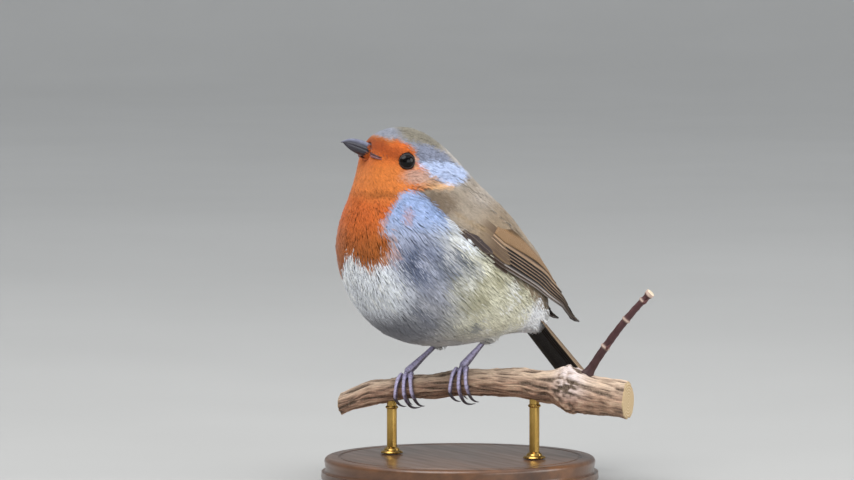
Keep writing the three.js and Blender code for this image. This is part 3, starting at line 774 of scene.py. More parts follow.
def eye_view(side):
    """An eye's middle and the directions it is built on: its gaze, across it and up it."""
    middle = (np.array(middle_of(f"eye_{side}")) - ORIGIN) / MM
    gaze = unit(np.array(EYE_GAZE) * (math.copysign(1, middle[0]), 1, 1))
    across = unit(np.cross(gaze, (0, 0, 1)))
    return middle, gaze, across, np.cross(across, gaze)


def lid_offset(side, points, flow=None):
    """Places, or headings, seen square to an eye, as shares of the opening for its lids."""
    middle, gaze, across, upward = eye_view(side)
    offset = points - middle if flow is None else flow
    return np.stack([offset @ across / LIDS[0], offset @ upward / LIDS[1]], axis=1), (points - middle) @ gaze


WING_PARTS = ("coverts", "primaries", "secondaries")
FLESH = ["head", "neck", "trunk", "thigh_left", "thigh_right", "wing_left_coverts", "wing_right_coverts"]
SKIN_GROW = 0.4
SKIN_VOXEL = 0.7
COAT_DEPTH = 2.1
SKIN_DEPTH = 0.85  # the skin lies this share of the coat's depth under the bird's own form

wing_form = united("wing_form", ["trunk"] + [f"wing_left_{part}" for part in WING_PARTS], 0.4, 0.5, 5)
place(wing_form.data, mesh_points(wing_form.data) - vertex_normals(wing_form.data) * 0.25)
wing_sheet = Surface(wing_form.data)
bpy.data.objects.remove(wing_form)


def raw_surface(nodes):
    """The CAD nodes' own faces, to measure distances from."""
    points, faces = [], []
    for name in nodes:
        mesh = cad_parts[name].data
        mesh.calc_loop_triangles()
        corners = np.empty(len(mesh.loop_triangles) * 3, np.int32)
        mesh.loop_triangles.foreach_get("vertices", corners)
        faces.append(corners.reshape(-1, 3) + sum(len(p) for p in points))
        points.append(mesh_points(mesh))
    return BVHTree.FromPolygons(np.concatenate(points).tolist(), np.concatenate(faces).tolist())


def gap_to(tree, points):
    """How far each place is from a raw surface."""
    return np.array([tree.find_nearest(p)[3] for p in points])


def distance_to(tree, points):
    """How far each place is from a raw surface, on either side of the bird."""
    mirrored = np.abs(points[:, 0])
    return gap_to(tree, np.stack([mirrored, points[:, 1], points[:, 2]], axis=1))


covert_tree = raw_surface(["wing_left_coverts"])
quill_tree = raw_surface(["wing_left_primaries", "wing_left_secondaries"])
thigh_trees = [raw_surface([f"thigh_{side}"]) for side in ("left", "right")]


def from_face(points):
    """How far each place is from the face, where the feathers' lie starts."""
    return np.linalg.norm(points - np.array(FACE), axis=1)


def by_place(points, measures, reaches, wing_gap, thigh_gap):
    """A measure of the coat by place: at the bill, then on face, body, wings and lower thighs."""
    bill, face, body, wing, thigh = measures
    value = blend(bill, face, ramp(2, reaches[0], from_face(points)))
    value = blend(value, body, ramp(13, reaches[1], from_face(points)))
    on_wing = ramp(1.6, wing_gap, distance_to(covert_tree, points)) * ramp(6, 12, np.abs(points[:, 0]))
    value = blend(value, wing, on_wing)
    for tree in thigh_trees:
        near = ramp(thigh_gap, 0.4, gap_to(tree, points))
        value = value + (thigh - value) * near * ramp(15.0, 11.0, points[:, 2])
    return value


def coat_depth(points):
    """How deep the coat is over the skin: shallow on the face, the wings and the lower thighs."""
    return by_place(points, (0.1, 1.1, COAT_DEPTH, 0.7, 0.8), (14, 30), 0.5, 1.6)


def open_sockets(points):
    """Presses the skin down round the eyes, so that the lids lie open."""
    for side in ("left", "right"):
        offset, outward = lid_offset(side, points)
        share = np.hypot(*offset.T)
        level = 1.55 + 1.2 * np.maximum(share - 1, 0)
        press = ramp(2.4, 1.6, share) * np.maximum(outward - level, 0) * (outward > 0)
        points = points - press[:, None] * eye_view(side)[1]
    return points


def make_skin():
    skin = united("bird_skin", FLESH + ["eye_left", "eye_right"], SKIN_GROW, SKIN_VOXEL, 8)
    points = mesh_points(skin.data)
    depth = coat_depth(points)
    place(skin.data, points - vertex_normals(skin.data) * (SKIN_GROW + SKIN_DEPTH * depth)[:, None])
    apply_modifier(skin, "SMOOTH", factor=0.5, iterations=2)
    shade_smooth(skin)
    points = open_sockets(mesh_points(skin.data))
    place(skin.data, points)
    # The skin under the coat is painted a little darker than its markings, as painted shade beneath the
    # feathers.
    paint(skin, plumage(points) * 0.94)
    return finish_piece(skin, skin_material, FLESH)


skin = make_skin()
skin_surface = Surface(skin.data)


# ---- Coat ----

BARB_STEPS = 3  # lengths of blade from root to tip
BARB_RING = 3  # corners of a blade's section
STATION_WIDTHS = np.array([0.6, 1.0, 0.85])
STATION_RISE = np.array([-0.10, 0.62, 0.96, 0.94])  # shares of the coat's depth
STATION_FAN = np.array([0.25, 0.72, 1.0, 1.08])  # how far the blades have spread


def stop_at_lids(roots, length):
    """Shortens the feathers that would lie over an eye."""
    flow = unit(lie(roots))
    for side in ("left", "right"):
        start, outward = lid_offset(side, roots)
        step, _ = lid_offset(side, roots, flow)
        a, b, c = (step * step).sum(axis=1), (start * step).sum(axis=1), (start * start).sum(axis=1) - 1
        inner = b * b - a * c
        reach = (-b - np.sqrt(np.maximum(inner, 0))) / a
        meets = (inner > 0) & (reach > 0) & (outward > 0)
        length = np.where(meets, np.minimum(length, np.maximum(reach, 0.6)), length)
    return length


def feather_length(points):
    """Length of the feathers by place: tiny round the bill, long on breast, flank and rump."""
    return by_place(points, (1.5, 3.0, 8.0, 3.6, 2.6), (12, 34), 0.6, 1.8)


def feather_spacing(points):
    return 0.14 * feather_length(points) + 0.10


WING_GRID = np.array([
    (*(bezier(WING_LOWER, a) * (1 - u) + bezier(WING_UPPER, a) * u), a, u)
    for a in np.linspace(0, 1, 41) for u in (0, 0.25, 0.5, 0.75, 1)
])


def wing_share(points):
    """How far along the folded wing each place lies, from wrist to tip, and how far up across it."""
    gap = np.hypot(-points[:, 1, None] - WING_GRID[:, 0], points[:, 2, None] - WING_GRID[:, 1])
    return WING_GRID[np.argmin(gap, axis=1), 2:].T


def has_feathers(points):
    """Leaves the eyes, the bill and what lies under the flight feathers bare."""
    clear = np.ones(len(points), bool)
    for side in ("left", "right"):
        start, outward = lid_offset(side, points)
        clear &= ~((np.hypot(*start.T) < 1) & (outward > 0))
    along, across = wing_share(points)
    clear &= ~((along > blend(0.40, 0.48, ramp(0.3, 0.6, across))) & (distance_to(covert_tree, points) < 1.6))
    clear &= distance_to(quill_tree, points) > 1.1
    return clear


def leg_lie(points, flow):
    """On the lower thighs the feathers turn down the leg."""
    for side, tree in zip(("left", "right"), thigh_trees):
        heel = mesh_points(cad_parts[f"thigh_{side}"].data)
        foot = mesh_points(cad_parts[f"tarsus_{side}"].data)
        down = unit(foot[np.argmin(foot[:, 2])] - heel[np.argmax(heel[:, 2])])
        near = gap_to(tree, points)
        share = ramp(2.0, 0.5, near) * ramp(14, 10, points[:, 2])
        flow = flow + (down * 2 - flow) * share[:, None]
    return flow


def feather_paths(roots, normals, length):
    """Each feather's middle line from root to tip, laid along the skin, with its normals and headings."""
    places, ups, heads = [roots], [normals], []
    position, up = roots, normals
    turn = draw.normal(0, 0.09, len(roots))[:, None]
    for _ in range(BARB_STEPS):
        flow = leg_lie(position, lie(position))
        flow = unit(flow - up * (flow * up).sum(axis=1, keepdims=True))
        flow = unit(flow + np.cross(up, flow) * turn)
        heads.append(flow)
        position, up = skin_surface.nearest(position + flow * (length / BARB_STEPS)[:, None])
        places.append(position)
        ups.append(up)
    heads.append(heads[-1])
    return np.stack(places, 1), np.stack(ups, 1), np.stack(heads, 1)


def barbs(name, spine, up, head, length, depth, per_feather, blade):
    """A joined mesh of feathers, each a fan of tapering blades that overlap and follow the skin."""
    roots = spine[:, 0]
    count = len(roots)
    side = unit(np.cross(head, up))
    # Where each blade stands in its feather: across from -1 to 1, and how far its tip reaches.
    across = np.linspace(-1, 1, per_feather)[None, :] + draw.normal(0, 0.10, (count, per_feather))
    half = (0.23 * length + 0.12)[:, None] * across
    reach = 1 - 0.30 * across ** 2 + draw.normal(0, 0.07, across.shape)
    station = np.arange(BARB_STEPS + 1) / BARB_STEPS
    # Blades take their places on the spine by interpolating between its stations.
    where = np.clip(reach[..., None] * station, 0, 1) * BARB_STEPS
    low = np.minimum(where.astype(int), BARB_STEPS - 1)
    t = (where - low)[..., None]
    row = np.arange(count)[:, None, None]

    def along_spine(values):
        return values[row, low] * (1 - t) + values[row, low + 1] * t

    centre, normal = along_spine(spine), unit(along_spine(up))
    beside = unit(along_spine(side))
    stray = draw.normal(0, 0.05, across.shape)[..., None] * station ** 2
    height = (depth[:, None, None] * STATION_RISE) * (1 + stray) - 0.12 * half[..., None] ** 2 * 0.3
    centre = centre + beside * (half[..., None] * STATION_FAN)[..., None] + normal * height[..., None]
    drift = draw.normal(0, 0.05, across.shape)[..., None] * station * length[:, None, None]
    centre = centre + beside * drift[..., None]
    forward = unit(np.gradient(centre, axis=2))
    beside = unit(np.cross(forward, normal))
    normal = np.cross(beside, forward)
    width = (blade * (0.6 + 0.05 * length))[:, None, None] * STATION_WIDTHS
    width = width * draw.uniform(0.8, 1.2, across.shape)[..., None]
    thick = width * 0.35
    c, b, n = centre[:, :, :BARB_STEPS], beside[:, :, :BARB_STEPS], normal[:, :, :BARB_STEPS]
    left = c - b * (width / 2)[..., None]
    right = c + b * (width / 2)[..., None]
    top = c + n * thick[..., None]
    rings = np.stack([left, right, top], axis=3)
    blades = count * per_feather
    points = np.concatenate([rings.reshape(blades, -1, 3), centre[:, :, -1].reshape(blades, 1, 3)], axis=1)
    template = [(0, 1, 2)]
    for k in range(BARB_STEPS - 1):
        for i in range(BARB_RING):
            a, j = k * BARB_RING + i, k * BARB_RING + (i + 1) % BARB_RING
            template += [(a, a + BARB_RING, j + BARB_RING), (a, j + BARB_RING, j)]
    last = (BARB_STEPS - 1) * BARB_RING
    tip = BARB_STEPS * BARB_RING
    template += [(last + i, tip, last + (i + 1) % BARB_RING) for i in range(BARB_RING)]
    size = tip + 1
    lean = np.stack([n - b * 0.28, n + b * 0.28, n], axis=3).reshape(blades, -1, 3)
    leans = np.concatenate([lean, normal[:, :, -1].reshape(blades, 1, 3)], axis=1)
    faces = (np.arange(blades)[:, None, None] * size + np.array(template)).reshape(-1, 3)

    # Colours: the marking at the feather's middle, with painted shade darkening the root and a little painted
    # light at the tip, each blade a little different.
    marking = plumage(spine[:, 1] * 0.5 + spine[:, 2] * 0.5)
    tint = 1 + draw.normal(0, 0.05, (count, 1, 1)) + draw.normal(0, 0.06, (count, per_feather, 1))
    stations = np.repeat(np.array([0.9, 0.98, 1.0]), BARB_RING).tolist() + [1.03]
    colours = marking[:, None, None, :] * (tint[..., None] * np.array(stations)[None, None, :, None])

    # Bake map: each feather is a small patch at its root's place on the body, rolled out round its axis.
    PATCH = 0.003
    down, angle = round_the_body(roots)
    place_u = angle / (2 * math.pi) + 0.5
    place_v = down / AXIS_LENGTH

    def spread(values):
        return 0.01 + 0.98 * (values - values.min()) / np.ptp(values) * (1 - PATCH)

    corner = np.stack([spread(place_u), spread(place_v)], axis=1)[:, None, None, :]
    strip = (np.arange(per_feather) / per_feather)[None, :, None]
    cell = np.tile(np.array([0.1, 0.9, 0.5]), BARB_STEPS).tolist() + [0.5]
    level = np.repeat(np.arange(BARB_STEPS) / BARB_STEPS, BARB_RING).tolist() + [1.0]
    columns = strip + np.array(cell) / per_feather
    local = np.stack(np.broadcast_arrays(columns, np.array(level)[None, None, :]), axis=-1)
    uv = corner + local * PATCH
    uv = np.broadcast_to(uv, (count, per_feather, size, 2)).reshape(-1, 2)

    piece = new_piece(name, points.reshape(-1, 3), faces)
    paint(piece, colours.reshape(-1, 3))
    map_uv(piece, "OFBake", uv)
    soften(piece, leans.reshape(-1, 3))
    return piece


def by_lids(points):
    """Thins the coat to a short nap beside the lids."""
    nap = np.ones(len(points))
    for side in ("left", "right"):
        offset, outward = lid_offset(side, points)
        beside = blend(0.35, 1.0, ramp(1.0, 2.2, np.hypot(*offset.T)))
        nap = np.where(outward > 0, np.minimum(nap, beside), nap)
    return nap


def coat_regions(points):
    """Which named part of the coat a feather belongs to."""
    side, f, z = points[:, 0], -points[:, 1], points[:, 2]
    region = np.full(len(points), 3)
    _, angle = round_the_body(points)
    region[np.abs(angle) < 1.75] = 2
    region[(np.abs(angle) < 1.75) & (f > 8) & (z > 30)] = 1
    region[from_face(points) < 20] = 0
    return region, side > 0


def make_coat():
    density = 1.0
    roots, normals = skin_surface.sample(lambda p: feather_spacing(p) * density, has_feathers)
    region, left = coat_regions(roots)
    for number, (name, slot, per_feather) in enumerate([
        ("head", "head_plumage", 6), ("breast", "breast_plumage", 9),
        ("belly", "body_plumage", 9), ("back", "covert_feathers", 8),
    ]):
        for side, mask in (("left", left), ("right", ~left)):
            chosen = (region == number) & mask
            at, up = roots[chosen], normals[chosen]
            length = stop_at_lids(at, feather_length(at) * draw.uniform(0.9, 1.1, len(at)))
            depth = np.minimum(coat_depth(at) * draw.uniform(0.97, 1.03, len(at)), 0.6 * length) * by_lids(at)
            paths = feather_paths(at, up, length)
            piece = barbs(f"coat_{name}_{side}", *paths, length, depth, per_feather, 0.36)
            finish_piece(piece, coat_material)


make_coat()


def make_bill_fringe():
    """Short feathers round the bill's root that lean forward over it."""
    COUNT = 150
    root, tip = np.array((0, *BILL_ROOT)), np.array((0, *BILL_TIP))
    ahead = unit(tip - root)
    over = np.cross(ahead, (1, 0, 0)) * -1
    over = over * math.copysign(1, over[2])
    angle = np.linspace(0, 2 * math.pi, COUNT, endpoint=False) + draw.normal(0, 0.03, COUNT)
    outward = np.cos(angle)[:, None] * np.array((1.0, 0, 0)) + np.sin(angle)[:, None] * over
    start = draw.uniform(1.8, 3.4, COUNT)[:, None]
    radius = (2.25 + 0.25 * (3.4 - start[:, 0]))[:, None]
    roots = root + ahead * start + outward * radius
    length = draw.uniform(1.7, 2.5, COUNT)
    steps = np.arange(BARB_STEPS + 1) / BARB_STEPS
    reach = length[:, None, None] * steps[None, :, None]
    spine = roots[:, None, :] + ahead * reach - outward[:, None, :] * 0.10 * reach
    ups = np.repeat(outward[:, None, :], BARB_STEPS + 1, axis=1)
    heads = np.repeat(np.tile(ahead, (COUNT, 1))[:, None, :], BARB_STEPS + 1, axis=1)
    piece = barbs("coat_bill_fringe", spine, ups, heads, length, np.full(COUNT, 0.25), 5, 0.30)
    finish_piece(piece, coat_material)


make_bill_fringe()


# ---- Wing feathers ----

def wing_place(along, across):
    """A place on the folded left wing: along from 0 at the wrist, and across from 0 at the lower edge."""
    flat = bezier(WING_LOWER, along) * (1 - across) + bezier(WING_UPPER, along) * across
    return wing_sheet.seen_from_left(flat[0], flat[1])


def wing_width(along):
    return float(np.linalg.norm(bezier(WING_UPPER, along) - bezier(WING_LOWER, along)))


def closed_sheet(front, back):
    """Points and faces of a thin closed plate between two grids of points."""
    rows, columns = front.shape[:2]
    below = rows * columns
    index = np.arange(below).reshape(rows, columns)
    top = np.stack([index[:-1, :-1], index[:-1, 1:], index[1:, 1:], index[1:, :-1]], axis=-1).reshape(-1, 4)
    edge = np.concatenate([index[0], index[1:, -1], index[-1, -2::-1], index[-2:0:-1, 0]])
    after = np.roll(edge, -1)
    rim = np.stack([after, edge, edge + below, after + below], axis=1)
    points = np.concatenate([front.reshape(-1, 3), back.reshape(-1, 3)])
    return points, np.concatenate([top, top[:, [0, 3, 2, 1]] + below, rim])


class Vanes:
    """Collects feathers with flat vanes into one piece."""

    def __init__(self):
        self.points, self.faces, self.colours, self.uv, self.total = [], [], [], [], 0

    def add(self, front, back, colour, uv, under=0.8):
        points, faces = closed_sheet(front, back)
        if np.dot(np.cross(front[1, 0] - front[0, 0], front[0, 1] - front[0, 0]),
                  front[0, 0] - back[0, 0]) > 0:
            faces = faces[:, ::-1]
        self.points.append(points)
        self.faces.append(faces + self.total)
        self.total += len(points)
        # The back faces take the colour darkened by under, as painted shade on the feathers' undersides.
        self.colours.append(np.concatenate([colour.reshape(-1, 3), colour.reshape(-1, 3) * under]))
        self.uv.append(np.concatenate([uv.reshape(-1, 2)] * 2))

    def piece(self, name, mirror=False):
        points = np.concatenate(self.points)
        faces = np.concatenate(self.faces)
        if mirror:
            points = points * np.array((-1, 1, 1))
            faces = faces[:, ::-1]
        made = new_piece(name, points, faces)
        paint(made, np.concatenate(self.colours))
        map_uv(made, "Vane", np.concatenate(self.uv))
        return made


VANE_ROWS = 34
VANE_COLUMNS = 9
VANE_THICK = 0.14
SHAFT = 0.32  # where the shaft stands across a vane
WING_STATIONS = (0.45, 0.65, 0.92, 1.0)


def blank_vane():
    """Empty grids for a vane's front, back, colours and barb map."""
    front = np.zeros((VANE_ROWS, VANE_COLUMNS, 3))
    return front, front.copy(), front.copy(), np.zeros((VANE_ROWS, VANE_COLUMNS, 2))


def vane_outline(t, tip):
    """Width of a vane along its length, as a share of the whole: narrow root, full middle, rounded tip."""
    root = 0.45 + 0.55 * ramp(0, 0.25, t)
    return root * np.sqrt(np.clip(1 - np.clip((t - (1 - tip)) / tip, 0, 1) ** 2.4, 0, 1))


def wing_feather(vanes, root, tip, course, width, lift, tilt, web, rim, rim_mm=0.35, blunt=0.16, inner=0.45,
                 limit=1.04, sink=0.0):
    """One folded feather. It is given by where its root and tip stand along the wing, the course of its lower
    edge across the wing at each of the stations, its width in millimetres, how far it stands over the body's
    form, how much its lower edge is raised, and the colours of its web and of its pale rim. It stays below
    the limit across the wing. A root that sinks under the coat takes the coat's colour there."""
    front, back, colour, uv = blank_vane()
    for r in range(VANE_ROWS):
        t = r / (VANE_ROWS - 1)
        along = root + (tip - root) * t
        span = max(0.06, float(vane_outline(t, blunt)))
        low = min(float(np.interp(along, WING_STATIONS, course)), limit - 0.06)
        per_mm = 1 / wing_width(along)
        broad = min(width * (1 - 0.2 * float(ramp(0.6, 1.0, along))), (limit - low) / per_mm)
        drawn_in = (1 - span) * 0.30 * broad * per_mm * float(ramp(0.7, 1.0, t))
        for c in range(VANE_COLUMNS):
            x = c / (VANE_COLUMNS - 1)
            across = low + drawn_in + x * span * broad * per_mm
            place_at, normal = wing_place(along, float(across))
            ridge = 0.05 * math.exp(-((x - SHAFT) / 0.07) ** 2) * (1 - 0.7 * t)
            crown = 0.12 * math.sin(math.pi * x)
            height = lift + tilt * (1 - x) ** 1.5 + crown + ridge - sink * float(ramp(0.45, 0.05, t))
            front[r, c] = place_at + normal * height
            back[r, c] = place_at + normal * (height - VANE_THICK)
            from_edge = x * span * broad
            edge = float(ramp(rim_mm * 1.15, rim_mm * 0.75, from_edge)) + 0.5 * float(ramp(0.97, 1.0, t))
            tone = mix(web, rim, min(1.0, edge))
            tone = mix(tone, web * inner, float(ramp(rim_mm, rim_mm + 0.5, from_edge)))
            tone = tone * (1 + 0.07 * float(cloud(np.array([[x * 3, t * 14, lift * 9]]), 1.0, 6)[0]))
            tone = mix(tone, QUILL_DARK, 0.8 * float(ramp(0.80, 0.95, along)))
            if sink:
                tone = mix(plumage(place_at[None])[0], tone, float(ramp(0.2, 0.7, t)))
            colour[r, c] = tone
            uv[r, c] = (x, t * (tip - root) * 10 + abs(x - SHAFT) * 0.35)
    vanes.add(front, back, colour, uv)


# Flight feathers from the wing's lower edge up: where the tip stands along the wing, the lower edge's course
# across it, the width, the colours of the web and the rim, the rim's width and the limit across the wing.
QUILLS = (
    (1.01, (-0.05, 0.12, 0.36, -0.40), 3.6, QUILL_BROWN, QUILL_GREY, 0.24, 1.03),
    (1.01, (0.03, 0.20, 0.44, -0.28), 3.5, QUILL_DARK, QUILL_PALE, 0.42, 1.03),
    (1.005, (0.15, 0.31, 0.56, -0.10), 3.4, QUILL_DARK, QUILL_EDGE, 0.30, 1.03),
    (0.995, (0.23, 0.40, 0.68, 0.12), 3.4, QUILL_DARK, QUILL_EDGE, 0.28, 1.03),
    (0.985, (0.30, 0.48, 0.80, 0.32), 3.3, QUILL_DARK, QUILL_EDGE, 0.30, 1.03),
    (0.965, (0.37, 0.56, 0.90, 0.50), 3.3, QUILL_DARK, QUILL_EDGE, 0.34, 1.03),
    (0.89, (0.44, 0.64, 1.02, 1.05), 3.4, QUILL_BROWN, mix(QUILL_EDGE, TERTIAL, 0.4), 0.9, 1.04),
    (0.83, (0.51, 0.79, 1.05, 1.05), 7.0, TERTIAL, mix(TERTIAL, QUILL_EDGE, 0.2), 4.5, 1.05),
)


def make_quills():
    """Flight feathers: primaries lowest, then secondaries, with the tertials outermost."""
    vanes = Vanes()
    for k, (tip, course, width, web, rim, rim_mm, limit) in enumerate(QUILLS):
        wing_feather(vanes, 0.38, tip, course, width, -0.45 + 0.085 * k, 0.38, web, rim, rim_mm, limit=limit)
    return vanes


def make_coverts():
    """Greater coverts over the quills' roots, and dark primary coverts and alula at the wing's lower edge."""
    vanes = Vanes()
    COVERTS = 5
    for k in range(COVERTS):
        share = k / (COVERTS - 1)
        low = 0.10 + 0.34 * share
        web = mix(COVERT, QUILL_BROWN, 0.65 + 0.25 * float(draw.random()))
        wing_feather(vanes, 0.24, 0.53 - 0.10 * share ** 1.5, (low, low, low, low), 3.4,
                     0.10 + 0.03 * k, 0.06, web, mix(web, COVERT_BUFF, 0.55), 0.5, 0.35, 0.96, sink=1.1)
    DARK = mix(QUILL_DARK, QUILL_BROWN, 0.55)
    for k in range(3):
        low = -0.07 + 0.06 * k
        wing_feather(vanes, 0.26, 0.55 - 0.02 * k, (low, low + 0.02, low, low), 1.6, -0.16 + 0.06 * k, 0.22,
                     DARK, mix(QUILL_BROWN, QUILL_GREY, 0.3), 0.2, 0.3, 0.7)
    for k in range(3):
        low = -0.07 + 0.065 * k
        wing_feather(vanes, 0.27 + 0.01 * k, 0.40 + 0.015 * k, (low, low + 0.02, low, low), 1.6,
                     0.06 + 0.05 * k, 0.2, mix(DARK, STREAK, 0.15), mix(QUILL_BROWN, QUILL_GREY, 0.2),
                     0.22, 0.35, 0.8)
    return vanes


quills, coverts = make_quills(), make_coverts()
for side in ("left", "right"):
    piece = quills.piece(f"flight_feathers_{side}", side == "right")
    stood_for = [f"wing_{side}_primaries", f"wing_{side}_secondaries"]
    finish_piece(piece, quill_material, stood_for)
    piece = coverts.piece(f"covert_feathers_{side}", side == "right")
    finish_piece(piece, covert_material)


# ---- Tail ----

def make_tail():
    """Twelve tail feathers, the middle pair on top, closed over each other into a shallow roof."""
    vanes = Vanes()
    root, tip = np.array(TAIL_ROOT), np.array(TAIL_TIP)
    run = tip - root
    length = np.linalg.norm(run)
    over = np.array((0.0, -run[1], -run[0])) / length
    COUNT, WIDTH, TAIL_SHAFT = 12, 6.0, 0.36
    OUTERMOST = (COUNT - 1) / 2
    for k in range(COUNT):
        rank = k - OUTERMOST
        side = math.copysign(1, rank)
        place_out = abs(rank) / OUTERMOST
        front, back, colour, uv = blank_vane()
        reach = 0.955 + 0.045 * math.sin(math.pi * min(1.0, place_out * 1.15 + 0.12)) ** 0.5
        for r in range(VANE_ROWS):
            t = r / (VANE_ROWS - 1)
            half = blend(TAIL_ROOT_HALF, TAIL_TIP_HALF, math.sqrt(t))
            span = max(0.06, float(vane_outline(t, 0.12)))
            centre = side * place_out * (half - 0.5 * WIDTH * 0.85)
            flat = root + run * (0.04 + 0.96 * t) * reach
            for c in range(VANE_COLUMNS):
                x = c / (VANE_COLUMNS - 1)
                outward = (x - 0.5) * -side
                across = centre + outward * WIDTH * span
                level = -2.9 * (across / TAIL_TIP_HALF) ** 2 + 0.75 - 0.11 * abs(rank)
                shaft = 0.06 * math.exp(-((x - TAIL_SHAFT) / 0.06) ** 2) * (1 - t)
                level += 0.10 * math.sin(math.pi * x) + shaft
                place_at = np.array((across, -flat[0], flat[1])) + over * level
                front[r, c] = place_at
                back[r, c] = place_at - over * 0.17
                edge = float(ramp(0.26, 0.17, x)) * (0.95 if place_out > 0.7 else 0.6)
                tone = mix(TAIL_BROWN, TAIL_EDGE, edge)
                tone = mix(tone, TAIL_DARK, math.exp(-((x - 0.30) / 0.05) ** 2) * 0.8)
                colour[r, c] = tone * (1 + 0.08 * float(cloud(np.array([[x * 3, t * 14, k]]), 1.0, 7)[0]))
                uv[r, c] = (x, t * 6 + abs(x - TAIL_SHAFT) * 0.35)
        # The tail's underside is painted nearly black, as painted shade.
        vanes.add(front, back, colour, uv, 0.12)
    return finish_piece(vanes.piece("tail_feathers"), quill_material, ["tail"])


make_tail()


# ---- Lofts ----

def loft(rings):
    """Points and faces of a tube through rings of points, closed at both ends."""
    rings = np.asarray(rings, float)
    count, sides = rings.shape[:2]
    points = rings.reshape(-1, 3)
    quads = []
    for r in range(count - 1):
        for i in range(sides):
            j = (i + 1) % sides
            a, b = r * sides + i, r * sides + j
            quads.append((a, b, b + sides, a + sides))
    middle = [rings[0].mean(axis=0), rings[-1].mean(axis=0)]
    points = np.concatenate([points, middle])
    first, last = len(points) - 2, len(points) - 1
    ends = [(first, (i + 1) % sides, i) for i in range(sides)]
    top = (count - 1) * sides
    ends += [(last, top + i, top + (i + 1) % sides) for i in range(sides)]
    return points, [np.array(quads), np.array(ends)]


def face_outwards(piece):
    mesh = bmesh.new()
    mesh.from_mesh(piece.data)
    bmesh.ops.recalc_face_normals(mesh, faces=mesh.faces)
    mesh.to_mesh(piece.data)
    mesh.free()
    return piece


# ---- Bill ----

def mandible(direction, depth, end):
    """Half of the bill as rings from deep inside the face to its tip; direction is 1 for the upper half."""
    root, tip = np.array(BILL_ROOT), np.array(BILL_TIP)
    axis = (tip - root) * end
    up = unit(np.array((axis[1], -axis[0])))
    rings = []
    STEPS, SIDES = 44, 28
    ROOT_HALF, TIP_HALF, TIP_DEPTH = 2.50, 0.10, 0.13
    for k in range(STEPS + 1):
        t = -0.30 + 1.30 * (1 - (1 - k / STEPS) ** 1.25)
        left = 1 - max(t, 0.0)
        half = blend(TIP_HALF, ROOT_HALF, left ** 0.75)
        high = blend(TIP_DEPTH, depth, math.tanh(3.6 * left))
        bow = 0.28 * math.sin(math.pi * min(1, max(0, t)))
        bow -= (0.35 if direction > 0 else 0) * max(0, t - 0.88) / 0.12
        centre = root + axis * t + up * bow
        ring = []
        for i in range(SIDES):
            angle = 2 * math.pi * i / SIDES
            flat_x, flat_y = math.cos(angle), math.sin(angle)
            across = flat_x * half * (1 - 0.20 * max(0, flat_y) ** 2)
            rise = max(0.0, flat_y) ** 0.85 * high * (1 + 0.06 * max(0, flat_y) ** 8)
            rise -= 0.12 * max(0.0, -flat_y)
            nostril = math.exp(-(((t - 0.24) / 0.045) ** 2 + ((flat_y - 0.62) / 0.16) ** 2))
            nostril = nostril if direction > 0 else 0
            across *= 1 - 0.16 * nostril
            rise = direction * (0.04 + rise * (1 - 0.05 * nostril))
            ring.append((across, centre[0] + up[0] * rise, centre[1] + up[1] * rise))
        rings.append(ring)
    return loft(rings)


def make_bill():
    """Two horny mandibles, with a painted bluish highlight along the culmen."""
    ridge = unit(np.array((0.0, BILL_TIP[1] - BILL_ROOT[1], BILL_ROOT[0] - BILL_TIP[0])))
    for name, direction, depth, end in (("bill_upper", 1, 2.5, 1.0), ("bill_lower", -1, 2.05, 0.955)):
        points, faces = mandible(direction, depth, end)
        piece = face_outwards(new_piece(f"{name}_horn", points, faces))
        # Painted highlight: the upper mandible is painted pale blue where it faces up along its ridge.
        lit = ramp(0.15, 0.75, vertex_normals(piece.data) @ ridge) if direction > 0 else np.zeros(len(points))
        paint(piece, mix(shade("242129"), shade("8d93ad"), 0.85 * lit * (0.8 + 0.2 * cloud(points, 0.8, 9))))
        finish_piece(piece, bill_material, [name])


make_bill()


def tube_rings(path, radii, sides):
    """Round rings of points along a path."""
    path = np.asarray(path, float)
    tangents = unit(np.gradient(path, axis=0))
    normal = np.array((0.31, 0.52, 0.80))
    rings = []
    for p, tangent, radius in zip(path, tangents, radii):
        normal = unit(normal - tangent * (normal @ tangent))
        beside = np.cross(tangent, normal)
        angle = 2 * math.pi * np.arange(sides) / sides
        rings.append(p + radius * (np.cos(angle)[:, None] * beside + np.sin(angle)[:, None] * normal))
    return rings


def joined_tubes(name, tubes, sides):
    """One piece of many tapering tubes, each a path with its radii."""
    points, quads, ends, total = [], [], [], 0
    for path, radii in tubes:
        p, (q, e) = loft(tube_rings(path, radii, sides))
        points.append(p)
        quads.append(q + total)
        ends.append(e + total)
        total += len(p)
    faces = [np.concatenate(quads), np.concatenate(ends)]
    return face_outwards(new_piece(name, np.concatenate(points), faces))


def on_skin(f, side, z, height):
    """A place on the skin nearest to a place of the bird, raised over it."""
    near, normal = skin_surface.nearest(np.array([(side, -f, z)], float))
    return near[0] + normal[0] * height


